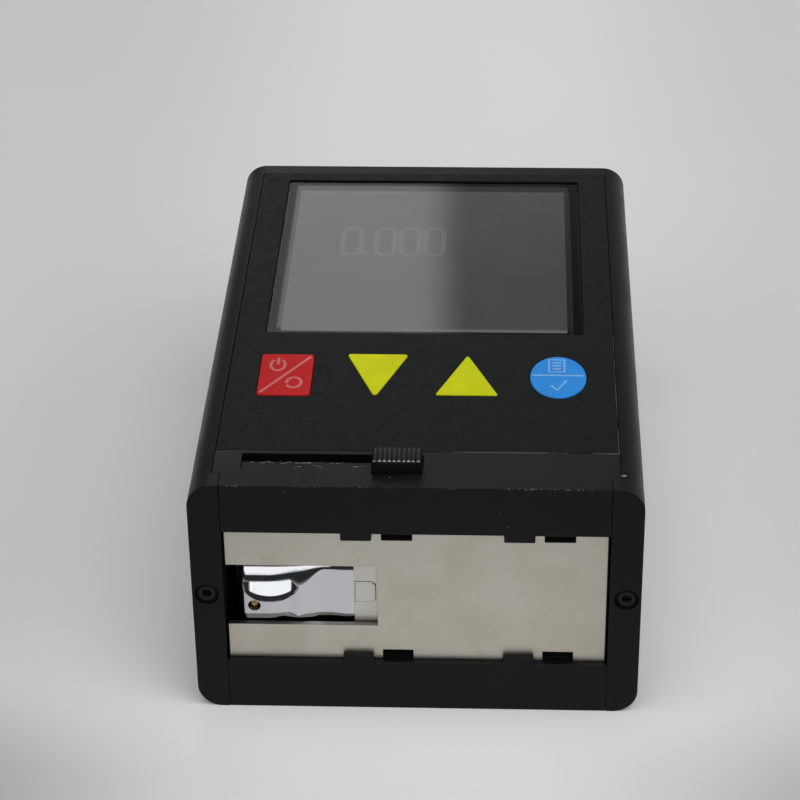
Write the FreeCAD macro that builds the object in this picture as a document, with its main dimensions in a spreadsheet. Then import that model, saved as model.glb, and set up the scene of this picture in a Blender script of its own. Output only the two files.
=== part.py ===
"""Pocket surface roughness tester: a housing with a stylus pick-up that is driven across a window in its front.

The model lies on its back cover with the display up. +Z is up, the measuring face looks along -Y, and the origin is
the middle of the underside. Every size is a cell of the sheet named Sizes, in millimetres. Depths that are called
"from the front" are counted from the measuring face, along +Y.
"""

import FreeCAD, Part
import math
import os
import re
import Sketcher

SIZES = {
    # fits shared by many parts
    "fit_gap": 0.05,
    "overcut": 1.0,
    "running_play": 0.03,
    # outer body
    "body_width": 70.0,
    "body_length": 106.0,
    "body_height": 42.5,
    "corner_radius": 4.0,
    "wall": 2.4,
    "rib_reach": 5.0,
    "rib_height": 6.0,
    "flange": 3.4,
    "cap_thickness": 3.0,
    # lid on top of the housing
    "lid_width": 62.6,
    "lid_thickness": 2.2,
    "lid_seam": 0.1,
    "ledge_width": 56.6,
    "ledge_thickness": 1.2,
    "strip_length": 10.0,
    # front frame and its cheeks
    "frame_width": 60.0,
    "frame_depth": 12.0,
    "opening_low": 9.15,
    "opening_height": 24.65,
    "recess": 1.0,
    "hollow_drop": 1.2,
    "hollow_rise": 2.2,
    "hollow_end": 6.0,
    "tab_width": 4.8,
    "tab_reach": 1.25,
    "tab_place": -9.2,
    "notch_place": -2.95,
    "notch_width": 4.8,
    "notch_reach": 1.75,
    "clip_pitch": 25.2,
    "screw_place": 32.7,
    "screw_level": 22.0,
    "head_radius": 1.7,
    "counterbore_radius": 1.9,
    "counterbore_depth": 2.3,
    "shank_radius": 0.98,
    "shank_hole_radius": 1.0,
    "shank_length": 8.0,
    "hex_flats": 1.5,
    "hex_depth": 1.1,
    "screw_head_height": 2.0,
    # base plate and its window
    "plate_thickness": 1.0,
    "plate_gap": 0.35,
    "window_end": -6.1,
    "window_low": 15.6,
    "window_height": 11.4,
    # shutter
    "shutter_edge": -9.8,
    "shutter_width": 24.6,
    "shutter_thickness": 0.8,
    "shutter_lap": 2.0,
    "shutter_tab_height": 3.8,
    "shutter_emboss": 0.1,
    "slide_gap": 0.15,
    # slider on top
    "slot_left": -27.0,
    "slot_right": 1.1,
    "slot_near": 4.95,
    "slot_width": 4.15,
    "slot_depth": 0.5,
    "slot_shelf": 2.6,
    "knob_place": -2.95,
    "knob_length": 7.9,
    "knob_near": 3.8,
    "knob_width": 4.6,
    "knob_height": 2.0,
    "knob_rib_pitch": 0.79,
    "knob_groove_width": 0.32,
    "knob_groove_depth": 0.4,
    "knob_lift": 0.1,
    "link_width": 4.0,
    "link_thickness": 1.25,
    "link_foot_low": 1.5,
    "link_foot_high": 0.5,
    # keys
    "key_pitch": 14.7,
    "key_depth": 32.3,
    "square_width": 8.6,
    "square_length": 12.6,
    "arrow_width": 10.1,
    "arrow_length": 13.2,
    "oval_width": 9.1,
    "oval_length": 12.6,
    "key_proud": 0.1,
    "key_flange": 0.6,
    "key_flange_height": 1.0,
    "key_gap": 0.15,
    "key_play": 0.1,
    "keypad_drop": 3.6,
    "keypad_near": 22.0,
    "keypad_far": 43.5,
    "keypad_inset": 0.8,
    "dome_height": 0.4,
    "dome_base": 3.0,
    "dome_top": 1.6,
    # display
    "glass_width": 52.6,
    "glass_front": 45.8,
    "glass_length": 54.6,
    "glass_thickness": 0.8,
    "glass_recess": 0.3,
    "glass_corner": 0.4,
    "glass_seam": 0.1,
    "lit_width": 49.0,
    "lit_length": 50.6,
    "panel_depth": 2.4,
    "tray_drop": 0.5,
    "tray_side": 0.5,
    "tray_end": 0.8,
    "tray_height": 3.4,
    "gasket_side": 0.4,
    "gasket_end": 0.6,
    "gasket_clear": 0.3,
    "lamp_place": -29.4,
    "lamp_radius": 0.78,
    "lamp_hole_radius": 0.8,
    # pick-up
    "pickup_left": -27.8,
    "head_face": 1.6,
    "arm_face": 3.15,
    "arm_slope": 1.9,
    "pickup_back": 8.0,
    "pickup_round": 0.8,
    "head_right": -20.2,
    "arm_left": -16.0,
    "head_low": 15.75,
    "head_height": 10.65,
    "arm_low": 16.4,
    "arm_height": 8.9,
    "pivot_place": 2.0,
    "pivot_depth": 7.0,
    "pivot_radius": 0.75,
    "eye_reach": 2.2,
    "stylus_place": -25.5,
    "stylus_level": 18.8,
    "stylus_bore": 1.0,
    "bore_floor": 0.6,
    "holder_setback": 0.7,
    "holder_end": 1.1,
    "holder_radius": 0.85,
    "tip_proud": 0.1,
    "tip_length": 0.8,
    "tip_point": 0.04,
    "tip_base": 0.4,
    "spring_near": 3.6,
    "spring_sheet": 0.25,
    "spring_left": 5.0,
    "spring_right": 1.0,
    "spring_rise": 2.5,
    "spring_height": 3.0,
    # traverse drive
    "carriage_left": -6.0,
    "carriage_width": 18.0,
    "carriage_front": 12.5,
    "carriage_depth": 11.5,
    "carriage_low": 13.5,
    "carriage_height": 15.0,
    "ear_reach": 2.4,
    "ear_front": 2.0,
    "ear_thickness": 2.15,
    "ear_gap": 0.15,
    "rod_radius": 1.5,
    "rod_depth": 18.0,
    "rod_low": 16.3,
    "rod_high": 26.0,
    "bush_radius": 2.25,
    "bush_length": 4.0,
    "nut_left": 6.0,
    "nut_width": 6.0,
    "nut_half": 4.0,
    "nut_reach": 2.0,
    "screw_depth": 26.5,
    "drive_level": 21.2,
    "bracket_width": 59.0,
    "bracket_near": 13.0,
    "bracket_far": 42.0,
    "bracket_sheet": 2.0,
    "bracket_floor": 1.6,
    "bracket_upright_far": 33.0,
    "bracket_rise": 1.0,
    "bracket_screw_inset": 5.0,
    "bracket_screw_end": 3.0,
    "bracket_hole_radius": 0.8,
    "bracket_hole_floor": 0.6,
    "bracket_shank_radius": 0.78,
    "bracket_shank_low": 1.0,
    "bracket_shank_room": 0.5,
    "bracket_head_radius": 1.5,
    "bracket_head_height": 1.1,
    "bearing_radius": 3.0,
    "motor_wall_near": 29.0,
    "motor_wall_gap": 1.4,
    "motor_wall_sheet": 1.2,
    "motor_wall_rise": 6.0,
    "shaft_radius": 0.75,
    "shaft_hole_radius": 1.6,
    "shaft_depth": 3.0,
    "motor_bore_radius": 0.8,
    "motor_bore_depth": 3.2,
    "gear_module": 0.4,
    "gear_left": 22.6,
    "gear_face": 3.0,
    "motor_radius": 4.5,
    "motor_length": 24.0,
    "switch_near": 14.0,
    "switch_far": 20.0,
    "switch_width": 5.0,
    "switch_height": 6.0,
    "switch_gap": 1.0,
    # electronics
    "board_level": 24.0,
    "board_thickness": 1.6,
    "board_half": 28.5,
    "board_front": 46.0,
    "board_length": 52.0,
    "board_hole_radius": 1.1,
    "post_radius": 2.5,
    "post_inset": 4.0,
    "post_bore_radius": 1.0,
    "post_bore_depth": 6.0,
    "board_screw_bite": 4.0,
    "board_head_radius": 1.9,
    "board_head_height": 1.3,
    "buzzer_place": 17.0,
    "buzzer_depth": 62.0,
    "buzzer_radius": 4.5,
    "buzzer_height": 4.0,
    "socket_width": 9.0,
    "socket_length": 9.2,
    "socket_height": 3.2,
    "socket_setback": 0.3,
    "socket_wall": 0.4,
    "socket_hollow_depth": 6.2,
    "socket_gap": 0.15,
    "tongue_width": 6.4,
    "tongue_length": 5.8,
    "tongue_height": 0.6,
    "tongue_setback": 1.2,
    "battery_width": 40.0,
    "battery_length": 44.0,
    "battery_height": 10.0,
    "battery_near": 52.0,
    "battery_round": 1.5,
    "battery_pad_width": 36.0,
    "battery_pad_thickness": 1.0,
}

SCREW_GEAR_TEETH = 24
PINION_TEETH = 12
# tooth sizes: root and tip in modules from the pitch circle, foot and crest in half widths per tooth pitch
GEAR_ROOT = 1.2
GEAR_TIP = 0.9
FOOT_SHARE = 0.30
CREST_SHARE = 0.11
KNOB_GROOVES = 9
OVAL_SIDES = 24
CHIPS = (
    # left edge, depth from the front, width, length, height
    (-8, 60, 10, 10, 1.2),
    (-22, 62, 6, 8, 1.0),
    (8, 74, 8, 5, 1.6),
    (-20, 80, 5, 5, 3.0),
)

FRONT = "(-body_length / 2)"
REAR = "(body_length / 2)"
LID_UNDERSIDE = "(body_height - lid_thickness)"
CEILING = "(body_height - lid_thickness - ledge_thickness)"
PLATE_FRONT = FRONT + " + recess"
PLATE_BACK = FRONT + " + recess + plate_thickness"
SHUTTER_FRONT = PLATE_BACK + " + slide_gap"
SHUTTER_BACK = SHUTTER_FRONT + " + shutter_thickness"
BOARD_TOP = "(board_level + board_thickness)"
GLASS_TOP = "(body_height - glass_recess)"
GLASS_LOW = "(body_height - glass_recess - glass_thickness)"
GEAR_PITCH_SUM = SCREW_GEAR_TEETH + PINION_TEETH
MOTOR_DEPTH = "screw_depth + gear_module * %d / 2" % GEAR_PITCH_SUM

doc = FreeCAD.newDocument("roughness_tester")


def make_sheet():
    sheet = doc.addObject("Spreadsheet::Sheet", "Sizes")
    for row, (alias, size) in enumerate(SIZES.items(), start=1):
        sheet.set("A%d" % row, alias)
        sheet.set("B%d" % row, str(size))
        sheet.setAlias("B%d" % row, alias)
    doc.recompute()


make_sheet()


def sized(formula):
    """A formula in plain size names, as an expression on the sheet's cells."""
    return re.sub(r"[a-z][a-z_]+", lambda found: cell_of(found.group()), str(formula))


def cell_of(word):
    return "Sizes." + word if word in SIZES else word


def bind(thing, path, formula):
    thing.setExpression(path, sized(formula))


def between(low, high):
    return "(%s) - (%s)" % (high, low)


def behind(depth):
    """The Y of a depth from the front."""
    return "%s + %s" % (FRONT, depth)


# ---- solids from Part primitives ----


def block(label, low, high):
    """A box from its lowest to its highest corner, each a tuple of three formulas."""
    made = doc.addObject("Part::Box", label)
    for axis, size, start, end in zip("xyz", ("Length", "Width", "Height"), low, high):
        bind(made, size, between(start, end))
        bind(made, "Placement.Base." + axis, start)
    return made


def place_round(made, start, axis):
    turns = {"x": ((0, 1, 0), 90), "y": ((1, 0, 0), -90), "z": ((0, 0, 1), 0)}
    direction, angle = turns[axis]
    made.Placement.Rotation = FreeCAD.Rotation(FreeCAD.Vector(*direction), angle)
    for letter, formula in zip("xyz", start):
        bind(made, "Placement.Base." + letter, formula)
    return made


def rod(label, axis, start, length, radius):
    """A cylinder along the positive x, y or z direction."""
    made = doc.addObject("Part::Cylinder", label)
    bind(made, "Radius", radius)
    bind(made, "Height", length)
    return place_round(made, start, axis)


def cone(label, axis, start, length, radius_at_start, radius_at_end):
    made = doc.addObject("Part::Cone", label)
    bind(made, "Radius1", radius_at_start)
    bind(made, "Radius2", radius_at_end)
    bind(made, "Height", length)
    return place_round(made, start, axis)


def fuse(label, pieces):
    made = doc.addObject("Part::MultiFuse", label)
    made.Shapes = pieces
    made.Refine = True
    return made


def group(label, pieces):
    """Identical separate solids that share one node."""
    made = doc.addObject("Part::Compound", label)
    made.Links = pieces
    return made


def cut(label, base, tools):
    made = doc.addObject("Part::Cut", label)
    made.Base = base
    made.Tool = tools[0] if len(tools) == 1 else fuse(label + "_tools", tools)
    made.Refine = True
    return made


# ---- solids from sketches ----


def sketch_on(body, role, offset, name):
    """A sketch on one of the body's own origin planes, moved along that plane's normal."""
    sketch = body.newObject("Sketcher::SketchObject", name)
    plane = next(f for f in body.Origin.OriginFeatures if f.Role == role)
    sketch.AttachmentSupport = [(plane, "")]
    sketch.MapMode = "FlatFace"
    bind(sketch, "AttachmentOffset.Base.z", offset)
    return sketch


def hold(sketch, kind, refs, formula):
    index = sketch.addConstraint(Sketcher.Constraint(kind, *refs, 1.0))
    bind(sketch, "Constraints[%d]" % index, formula)


def draw_outline(sketch, corners):
    """A closed polygon, each corner held at its two formulas."""
    count = len(corners)
    angles = [2 * math.pi * i / count for i in range(count)]
    points = [FreeCAD.Vector(math.cos(a), math.sin(a), 0) for a in angles]
    first = sketch.GeometryCount
    for i in range(count):
        sketch.addGeometry(Part.LineSegment(points[i], points[(i + 1) % count]))
    for i in range(count):
        after = first + (i + 1) % count
        sketch.addConstraint(Sketcher.Constraint("Coincident", first + i, 2, after, 1))
    for i, (across, up) in enumerate(corners):
        hold(sketch, "DistanceX", (-1, 1, first + i, 1), across)
        hold(sketch, "DistanceY", (-1, 1, first + i, 1), up)


def draw_circle(sketch, across, up, radius):
    index = sketch.addGeometry(Part.Circle(FreeCAD.Vector(1, 1, 0), FreeCAD.Vector(0, 0, 1), 1))
    hold(sketch, "DistanceX", (-1, 1, index, 3), across)
    hold(sketch, "DistanceY", (-1, 1, index, 3), up)
    hold(sketch, "Radius", (index,), radius)


def pad(body, sketch, length):
    made = body.newObject("PartDesign::Pad", "Pad")
    made.Profile = sketch
    bind(made, "Length", length)
    doc.recompute()
    return made


def pocket(body, sketch, length):
    """Cuts along the sketch's normal turned round, and stops if nothing was removed."""
    before = body.Shape.Volume
    made = body.newObject("PartDesign::Pocket", "Pocket")
    made.Profile = sketch
    bind(made, "Length", length)
    doc.recompute()
    if body.Shape.Volume > before - 1e-6:
        raise RuntimeError("a pocket in %s removes nothing" % body.Label)
    return made


def straight_edges(shape, axis, keep):
    """Names of the straight edges along an axis whose middle passes the test keep(x, y, z)."""
    found = []
    for i, edge in enumerate(shape.Edges, start=1):
        if len(edge.Vertexes) != 2 or edge.Curve.TypeId != "Part::GeomLine":
            continue
        run = edge.Vertexes[1].Point - edge.Vertexes[0].Point
        middle = (edge.Vertexes[1].Point + edge.Vertexes[0].Point) / 2
        if abs(getattr(run, axis)) > 0.999 * run.Length and keep(*middle):
            found.append("Edge%d" % i)
    return found


def round_edges(body, axis, radius, keep=lambda x, y, z: True):
    base = body.Tip
    edges = straight_edges(base.Shape, axis, keep)
    if not edges:
        raise RuntimeError("no edge to round in %s" % body.Label)
    made = body.newObject("PartDesign::Fillet", "Fillet")
    made.Base = (base, edges)
    bind(made, "Radius", radius)
    doc.recompute()
    return made


def new_body(label):
    body = doc.addObject("PartDesign::Body", label)
    body.Label = label
    return body


def rectangle(left, right, low, high):
    return [(left, low), (right, low), (right, high), (left, high)]


def facing_slab(label, corners, near, far):
    """A body whose outline is drawn in X and Z, from one Y to a larger one."""
    body = new_body(label)
    sketch = sketch_on(body, "XZ_Plane", "-(%s)" % far, "Outline")
    draw_outline(sketch, corners)
    pad(body, sketch, between(near, far))
    return body


def level_slab(label, corners, low, high):
    """A body whose outline is drawn in X and Y, from one Z to a larger one."""
    body = new_body(label)
    sketch = sketch_on(body, "XY_Plane", low, "Outline")
    draw_outline(sketch, corners)
    pad(body, sketch, between(low, high))
    return body


def pocket_rear(body, near, draw, length, name="Cut"):
    """Cuts from the plane Y = near along +Y: a pocket runs against the sketch's normal, which is -Y."""
    sketch = sketch_on(body, "XZ_Plane", "-(%s)" % near, name)
    draw(sketch)
    return pocket(body, sketch, length)


def pocket_down(body, top, draw, length, name="Cut"):
    """Cuts from the plane Z = top downward."""
    sketch = sketch_on(body, "XY_Plane", top, name)
    draw(sketch)
    return pocket(body, sketch, length)


# ---- outer shell ----


def make_housing():
    start = FRONT + " + flange"
    end = REAR + " - cap_thickness"
    outline = rectangle("-body_width / 2", "body_width / 2", "0", "body_height")
    body = facing_slab("housing", outline, start, end)
    round_edges(body, "y", "corner_radius")
    right_half = [
        ("body_width / 2 - wall", "wall"),
        ("body_width / 2 - wall", "screw_level - rib_height / 2"),
        ("body_width / 2 - rib_reach", "screw_level - rib_height / 2"),
        ("body_width / 2 - rib_reach", "screw_level + rib_height / 2"),
        ("body_width / 2 - wall", "screw_level + rib_height / 2"),
        ("body_width / 2 - wall", CEILING),
        ("ledge_width / 2", CEILING),
        ("ledge_width / 2", LID_UNDERSIDE),
        ("lid_width / 2 + lid_seam", LID_UNDERSIDE),
        ("lid_width / 2 + lid_seam", "body_height + wall"),
    ]
    left_half = [("-(%s)" % across, up) for across, up in reversed(right_half)]
    pocket_rear(body, start, lambda s: draw_outline(s, right_half + left_half), "body_length", "Cavity")

    def screw_holes(sketch):
        for side in ("-", ""):
            draw_circle(sketch, side + "screw_place", "screw_level", "shank_hole_radius")

    pocket_rear(body, start, screw_holes, "body_length", "Screw_channels")

    def bracket_holes(sketch):
        for across, along in bracket_screw_places():
            draw_circle(sketch, across, along, "bracket_hole_radius")

    pocket_down(body, "wall", bracket_holes, "wall - bracket_hole_floor", "Bracket_holes")
    return body


def make_front_frame():
    half = "frame_width / 2"
    inner = "ledge_width / 2 - lid_seam"
    face = block("frame_face", ("-" + half, FRONT, "0"), (half, behind("flange"), "body_height"))
    core = block(
        "frame_core",
        ("-(%s)" % inner, behind("flange"), "wall + lid_seam"),
        (inner, behind("frame_depth"), LID_UNDERSIDE),
    )
    strip = block(
        "frame_strip",
        ("-lid_width / 2", behind("flange"), LID_UNDERSIDE + " - lid_seam"),
        ("lid_width / 2", behind("strip_length"), "body_height"),
    )
    lintel = block(
        "frame_strip_relief",
        ("-lid_width / 2 - overcut", behind("flange"), LID_UNDERSIDE + " - overcut"),
        ("-(%s)" % inner, behind("strip_length"), LID_UNDERSIDE),
    )
    lintel_right = block(
        "frame_strip_relief_right",
        (inner, behind("flange"), LID_UNDERSIDE + " - overcut"),
        ("lid_width / 2 + overcut", behind("strip_length"), LID_UNDERSIDE),
    )
    groove = block(
        "plate_groove",
        ("-frame_width", FRONT + " - overcut", "opening_low"),
        ("frame_width", PLATE_BACK, "opening_low + opening_height"),
    )
    hollow = block(
        "frame_hollow",
        ("-frame_width / 2 - overcut", FRONT, "window_low - shutter_lap - hollow_drop"),
        (
            "frame_width / 2 - hollow_end",
            behind("frame_depth + overcut"),
            "window_low + window_height + shutter_lap + hollow_rise",
        ),
    )
    slot = block(
        "slider_slot",
        ("slot_left", behind("slot_near"), "body_height - slot_depth"),
        ("slot_right", behind("slot_near + slot_width"), "body_height + overcut"),
    )
    channel = block(
        "link_channel",
        ("slot_left", behind("slot_near + slot_shelf"), "window_low + window_height"),
        ("slot_right", behind("slot_near + slot_width"), "body_height"),
    )
    solid = fuse("frame_solid", [face, core, strip])
    opened = cut("frame_opened", solid, [groove, hollow, slot, channel, lintel, lintel_right])
    tabs = []
    levels = {
        "low": ("opening_low - overcut", "opening_low + tab_reach"),
        "high": ("opening_low + opening_height - tab_reach", "opening_low + opening_height + overcut"),
    }
    for column in (0, 1):
        middle = "tab_place + %d * clip_pitch" % column
        for level, (low, high) in levels.items():
            tabs.append(
                block(
                    "frame_tab_%s_%d" % (level, column),
                    (middle + " - tab_width / 2", FRONT, low),
                    (middle + " + tab_width / 2", PLATE_FRONT + " - fit_gap", high),
                )
            )
    return fuse("front_frame", [opened] + tabs)


def make_cheek(label, side):
    """One end block of the front frame, rounded at its outer corners. side is 1 on the right and -1 on the left."""
    seam = "%d * (frame_width / 2 + fit_gap)" % side
    outer = "%d * body_width / 2" % side
    body = facing_slab(label, rectangle(seam, outer, "0", "body_height"), FRONT, behind("flange"))
    round_edges(body, "y", "corner_radius", lambda x, y, z: abs(x) > SIZES["frame_width"] / 2 + 1)
    place = "%d * screw_place" % side
    pocket_rear(
        body,
        FRONT,
        lambda s: draw_circle(s, place, "screw_level", "counterbore_radius"),
        "counterbore_depth",
        "Counterbore",
    )
    pocket_rear(
        body, FRONT, lambda s: draw_circle(s, place, "screw_level", "shank_hole_radius"), "flange + overcut", "Hole"
    )
    return body


def make_socket_screw(label, side, front):
    """A socket head screw along Y. front is 1 for the measuring face and -1 for the rear cap."""
    place = "%d * screw_place" % side
    seat = behind("counterbore_depth") if front == 1 else REAR + " - counterbore_depth"
    start = seat + " - screw_head_height" if front == 1 else seat
    shank_start = seat if front == 1 else seat + " - shank_length"
    head = rod(label + "_head", "y", (place, start, "screw_level"), "screw_head_height", "head_radius")
    shank = rod(label + "_shank", "y", (place, shank_start, "screw_level"), "shank_length", "shank_radius")
    hexagon = doc.addObject("Part::Prism", label + "_hex")
    hexagon.Polygon = 6
    bind(hexagon, "Circumradius", "hex_flats / sqrt(3)")
    bind(hexagon, "Height", "hex_depth")
    outermost = seat + " - screw_head_height" if front == 1 else seat + " + screw_head_height - hex_depth"
    place_round(hexagon, (place, outermost, "screw_level"), "y")
    return cut(label, fuse(label + "_solid", [head, shank]), [hexagon])


def make_rear_cap():
    near = REAR + " - cap_thickness"
    outline = rectangle("-body_width / 2", "body_width / 2", "0", "body_height")
    body = facing_slab("rear_cap", outline, near, REAR)
    round_edges(body, "y", "corner_radius")

    def openings(sketch):
        for side in ("-", ""):
            draw_circle(sketch, side + "screw_place", "screw_level", "shank_hole_radius")
        half = "(socket_width / 2 + socket_gap)"
        low = BOARD_TOP + " - socket_gap"
        draw_outline(sketch, rectangle("-" + half, half, low, BOARD_TOP + " + socket_height + socket_gap"))

    pocket_rear(body, near, openings, "cap_thickness", "Openings")

    def heads(sketch):
        for side in ("-", ""):
            draw_circle(sketch, side + "screw_place", "screw_level", "counterbore_radius")

    pocket_rear(body, REAR + " - counterbore_depth", heads, "counterbore_depth + overcut", "Counterbores")
    return body


# ---- lid, display and keys ----

KEYS = {"power_key": -1.5, "down_key": -0.5, "up_key": 0.5, "menu_key": 1.5}
KEY_FACES = {"power_key": "square", "down_key": "arrow", "up_key": "arrow", "menu_key": "oval"}


def key_outline(sketch, label, grow):
    """A key's face: a square, a triangle each way, and a round key as a many-sided oval."""
    middle = "%s * key_pitch" % KEYS[label]
    depth = behind("key_depth")
    half_width = "(%s_width / 2 + %s)" % (KEY_FACES[label], grow)
    half_length = "(%s_length / 2 + %s)" % (KEY_FACES[label], grow)
    left = "%s - %s" % (middle, half_width)
    right = "%s + %s" % (middle, half_width)
    near = "%s - %s" % (depth, half_length)
    far = "%s + %s" % (depth, half_length)
    if label == "power_key":
        draw_outline(sketch, rectangle(left, right, near, far))
    elif label == "down_key":
        draw_outline(sketch, [(middle, near), (right, far), (left, far)])
    elif label == "up_key":
        draw_outline(sketch, [(left, near), (right, near), (middle, far)])
    else:
        oval = []
        for i in range(OVAL_SIDES):
            angle = "%d" % (i * 360 / OVAL_SIDES)
            across = "%s + %s * cos(%s)" % (middle, half_width, angle)
            oval.append((across, "%s + %s * sin(%s)" % (depth, half_length, angle)))
        draw_outline(sketch, oval)


def make_top_panel():
    front = behind("strip_length + lid_seam / 2")
    outline = rectangle("-lid_width / 2", "lid_width / 2", front, REAR + " - cap_thickness")
    body = level_slab("top_panel", outline, LID_UNDERSIDE, "body_height")

    def openings(sketch):
        for label in KEYS:
            key_outline(sketch, label, "key_gap")
        near = behind("glass_front")
        half = "glass_width / 2 + glass_seam"
        draw_outline(sketch, rectangle("-(%s)" % half, half, near, near + " + glass_length"))
        draw_circle(sketch, "lamp_place", behind("glass_front + glass_length"), "lamp_hole_radius")

    pocket_down(body, "body_height", openings, "lid_thickness + overcut", "Openings")
    return body


def make_key(label):
    """A key cap that shows through the lid, on a wider flange that keeps it in."""
    body = new_body(label)
    flange_low = LID_UNDERSIDE + " - key_flange_height - key_play"
    low_sketch = sketch_on(body, "XY_Plane", flange_low, "Flange")
    key_outline(low_sketch, label, "key_flange")
    pad(body, low_sketch, "key_flange_height")
    cap_sketch = sketch_on(body, "XY_Plane", LID_UNDERSIDE + " - key_play", "Cap")
    key_outline(cap_sketch, label, "0")
    pad(body, cap_sketch, "lid_thickness + key_play + key_proud")
    return body


def make_keypad():
    board_low = LID_UNDERSIDE + " - keypad_drop"
    board_top = board_low + " + board_thickness"
    board = block(
        "keypad_board",
        ("-ledge_width / 2 + keypad_inset", behind("keypad_near"), board_low),
        ("ledge_width / 2 - keypad_inset", behind("keypad_far"), board_top),
    )
    domes = []
    for label, step in KEYS.items():
        start = ("%s * key_pitch" % step, behind("key_depth"), board_top)
        domes.append(cone(label + "_dome", "z", start, "dome_height", "dome_base", "dome_top"))
    return [board, group("key_domes", domes)]


def framed(label, half_width, half_length, low, high):
    """A block centred on the display, from one Z to a larger one."""
    middle = behind("glass_front + glass_length / 2")
    near = "%s - (%s)" % (middle, half_length)
    far = "%s + %s" % (middle, half_length)
    return block(label, ("-(%s)" % half_width, near, low), (half_width, far, high))


def make_glass():
    near = behind("glass_front + glass_seam")
    far = behind("glass_front + glass_length - glass_seam")
    outline = rectangle("-glass_width / 2", "glass_width / 2", near, far)
    glass = level_slab("display_window", outline, GLASS_LOW, GLASS_TOP)
    round_edges(glass, "z", "glass_corner")
    return glass


def make_gasket(tray_top):
    """A foam frame: its foot lies on the tray under the lid, and its rim carries the window."""
    foot = framed(
        "gasket_foot", "glass_width / 2 + gasket_side", "glass_length / 2 + gasket_end", tray_top, LID_UNDERSIDE
    )
    rim = framed(
        "gasket_rim", "glass_width / 2 - glass_seam", "glass_length / 2 - 2 * glass_seam", tray_top, GLASS_LOW
    )
    hollow = framed(
        "gasket_hollow",
        "lit_width / 2 + gasket_clear",
        "lit_length / 2 + gasket_clear",
        tray_top + " - overcut",
        GLASS_LOW + " + overcut",
    )
    return cut("window_gasket", fuse("gasket_solid", [foot, rim]), [hollow])


def make_display():
    tray_top = LID_UNDERSIDE + " - tray_drop"
    panel_low = tray_top + " - panel_depth"
    tray_block = framed(
        "tray_block",
        "glass_width / 2 + tray_side",
        "glass_length / 2 + tray_end",
        tray_top + " - tray_height",
        tray_top,
    )
    hollow = framed(
        "tray_hollow", "lit_width / 2 + fit_gap", "lit_length / 2 + fit_gap", panel_low, tray_top + " + overcut"
    )
    tray = cut("display_tray", tray_block, [hollow])
    panel = framed("display_panel", "lit_width / 2", "lit_length / 2", panel_low, GLASS_LOW + " - fit_gap")
    lamp_start = ("lamp_place", behind("glass_front + glass_length"), LID_UNDERSIDE)
    lamp = rod("status_lamp", "z", lamp_start, "lid_thickness", "lamp_radius")
    return [make_glass(), tray, panel, make_gasket(tray_top), lamp]


# ---- base plate, shutter and slider ----


def make_base_plate():
    """A fork: its slot, the window of the pick-up, is open to the left edge. Notches let it drop past the tabs."""
    low = "opening_low + fit_gap"
    high = "opening_low + opening_height - fit_gap"
    edge = "frame_width / 2 - plate_gap"
    window_high = "window_low + window_height"
    notch = []
    for column in (0, 1):
        middle = "notch_place + %d * clip_pitch" % column
        notch.append((middle + " - notch_width / 2", middle + " + notch_width / 2"))
    corners = [("-(%s)" % edge, low)]
    for left, right in notch:
        corners += [(left, low), (left, low + " + notch_reach"), (right, low + " + notch_reach"), (right, low)]
    corners += [(edge, low), (edge, high)]
    for left, right in reversed(notch):
        corners += [(right, high), (right, high + " - notch_reach"), (left, high + " - notch_reach"), (left, high)]
    corners += [("-(%s)" % edge, high), ("-(%s)" % edge, window_high), ("window_end", window_high)]
    corners += [("window_end", "window_low"), ("-(%s)" % edge, "window_low")]
    return facing_slab("base_plate", corners, PLATE_FRONT, PLATE_BACK)


def make_shutter():
    low = "window_low - shutter_lap"
    high = "window_low + window_height + shutter_lap"
    right = "shutter_edge + shutter_width"
    leaf = block("shutter_leaf", ("shutter_edge", SHUTTER_FRONT, low), (right, SHUTTER_BACK, high))
    tab_low = "window_low + window_height / 2 - shutter_tab_height / 2"
    embossed = block(
        "shutter_tab",
        ("shutter_edge + shutter_emboss", SHUTTER_FRONT + " - shutter_emboss", tab_low),
        ("window_end - shutter_emboss", SHUTTER_BACK, tab_low + " + shutter_tab_height"),
    )
    return fuse("shutter_plate", [leaf, embossed])


def make_slider():
    left = "knob_place - link_width / 2"
    right = "knob_place + link_width / 2"
    shutter_top = "window_low + window_height + shutter_lap"
    stem_near = "slot_near + slot_shelf + slide_gap"
    stem_far = stem_near + " + link_thickness"
    foot_low = shutter_top + " - link_foot_low"
    foot_high = shutter_top + " + link_foot_high"
    knob_low = "body_height + knob_lift"
    stem = block("link_stem", (left, behind(stem_near), foot_low), (right, behind(stem_far), knob_low))
    foot = block("link_foot", (left, SHUTTER_BACK, foot_low), (right, behind(stem_far), foot_high))
    link = fuse("slider_link", [stem, foot])
    knob_top = "body_height + knob_height"
    cap = block(
        "knob_cap",
        ("knob_place - knob_length / 2", behind("knob_near"), knob_low),
        ("knob_place + knob_length / 2", behind("knob_near + knob_width"), knob_top),
    )
    grooves = []
    for i in range(KNOB_GROOVES):
        middle = "knob_place + %s * knob_rib_pitch" % (i - (KNOB_GROOVES - 1) / 2)
        grooves.append(
            block(
                "knob_groove_%d" % i,
                (
                    middle + " - knob_groove_width / 2",
                    behind("knob_near - overcut"),
                    knob_top + " - knob_groove_depth",
                ),
                (
                    middle + " + knob_groove_width / 2",
                    behind("knob_near + knob_width + overcut"),
                    knob_top + " + overcut",
                ),
            )
        )
    return [link, cut("slider_knob", cap, grooves)]


# ---- pick-up ----


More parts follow.
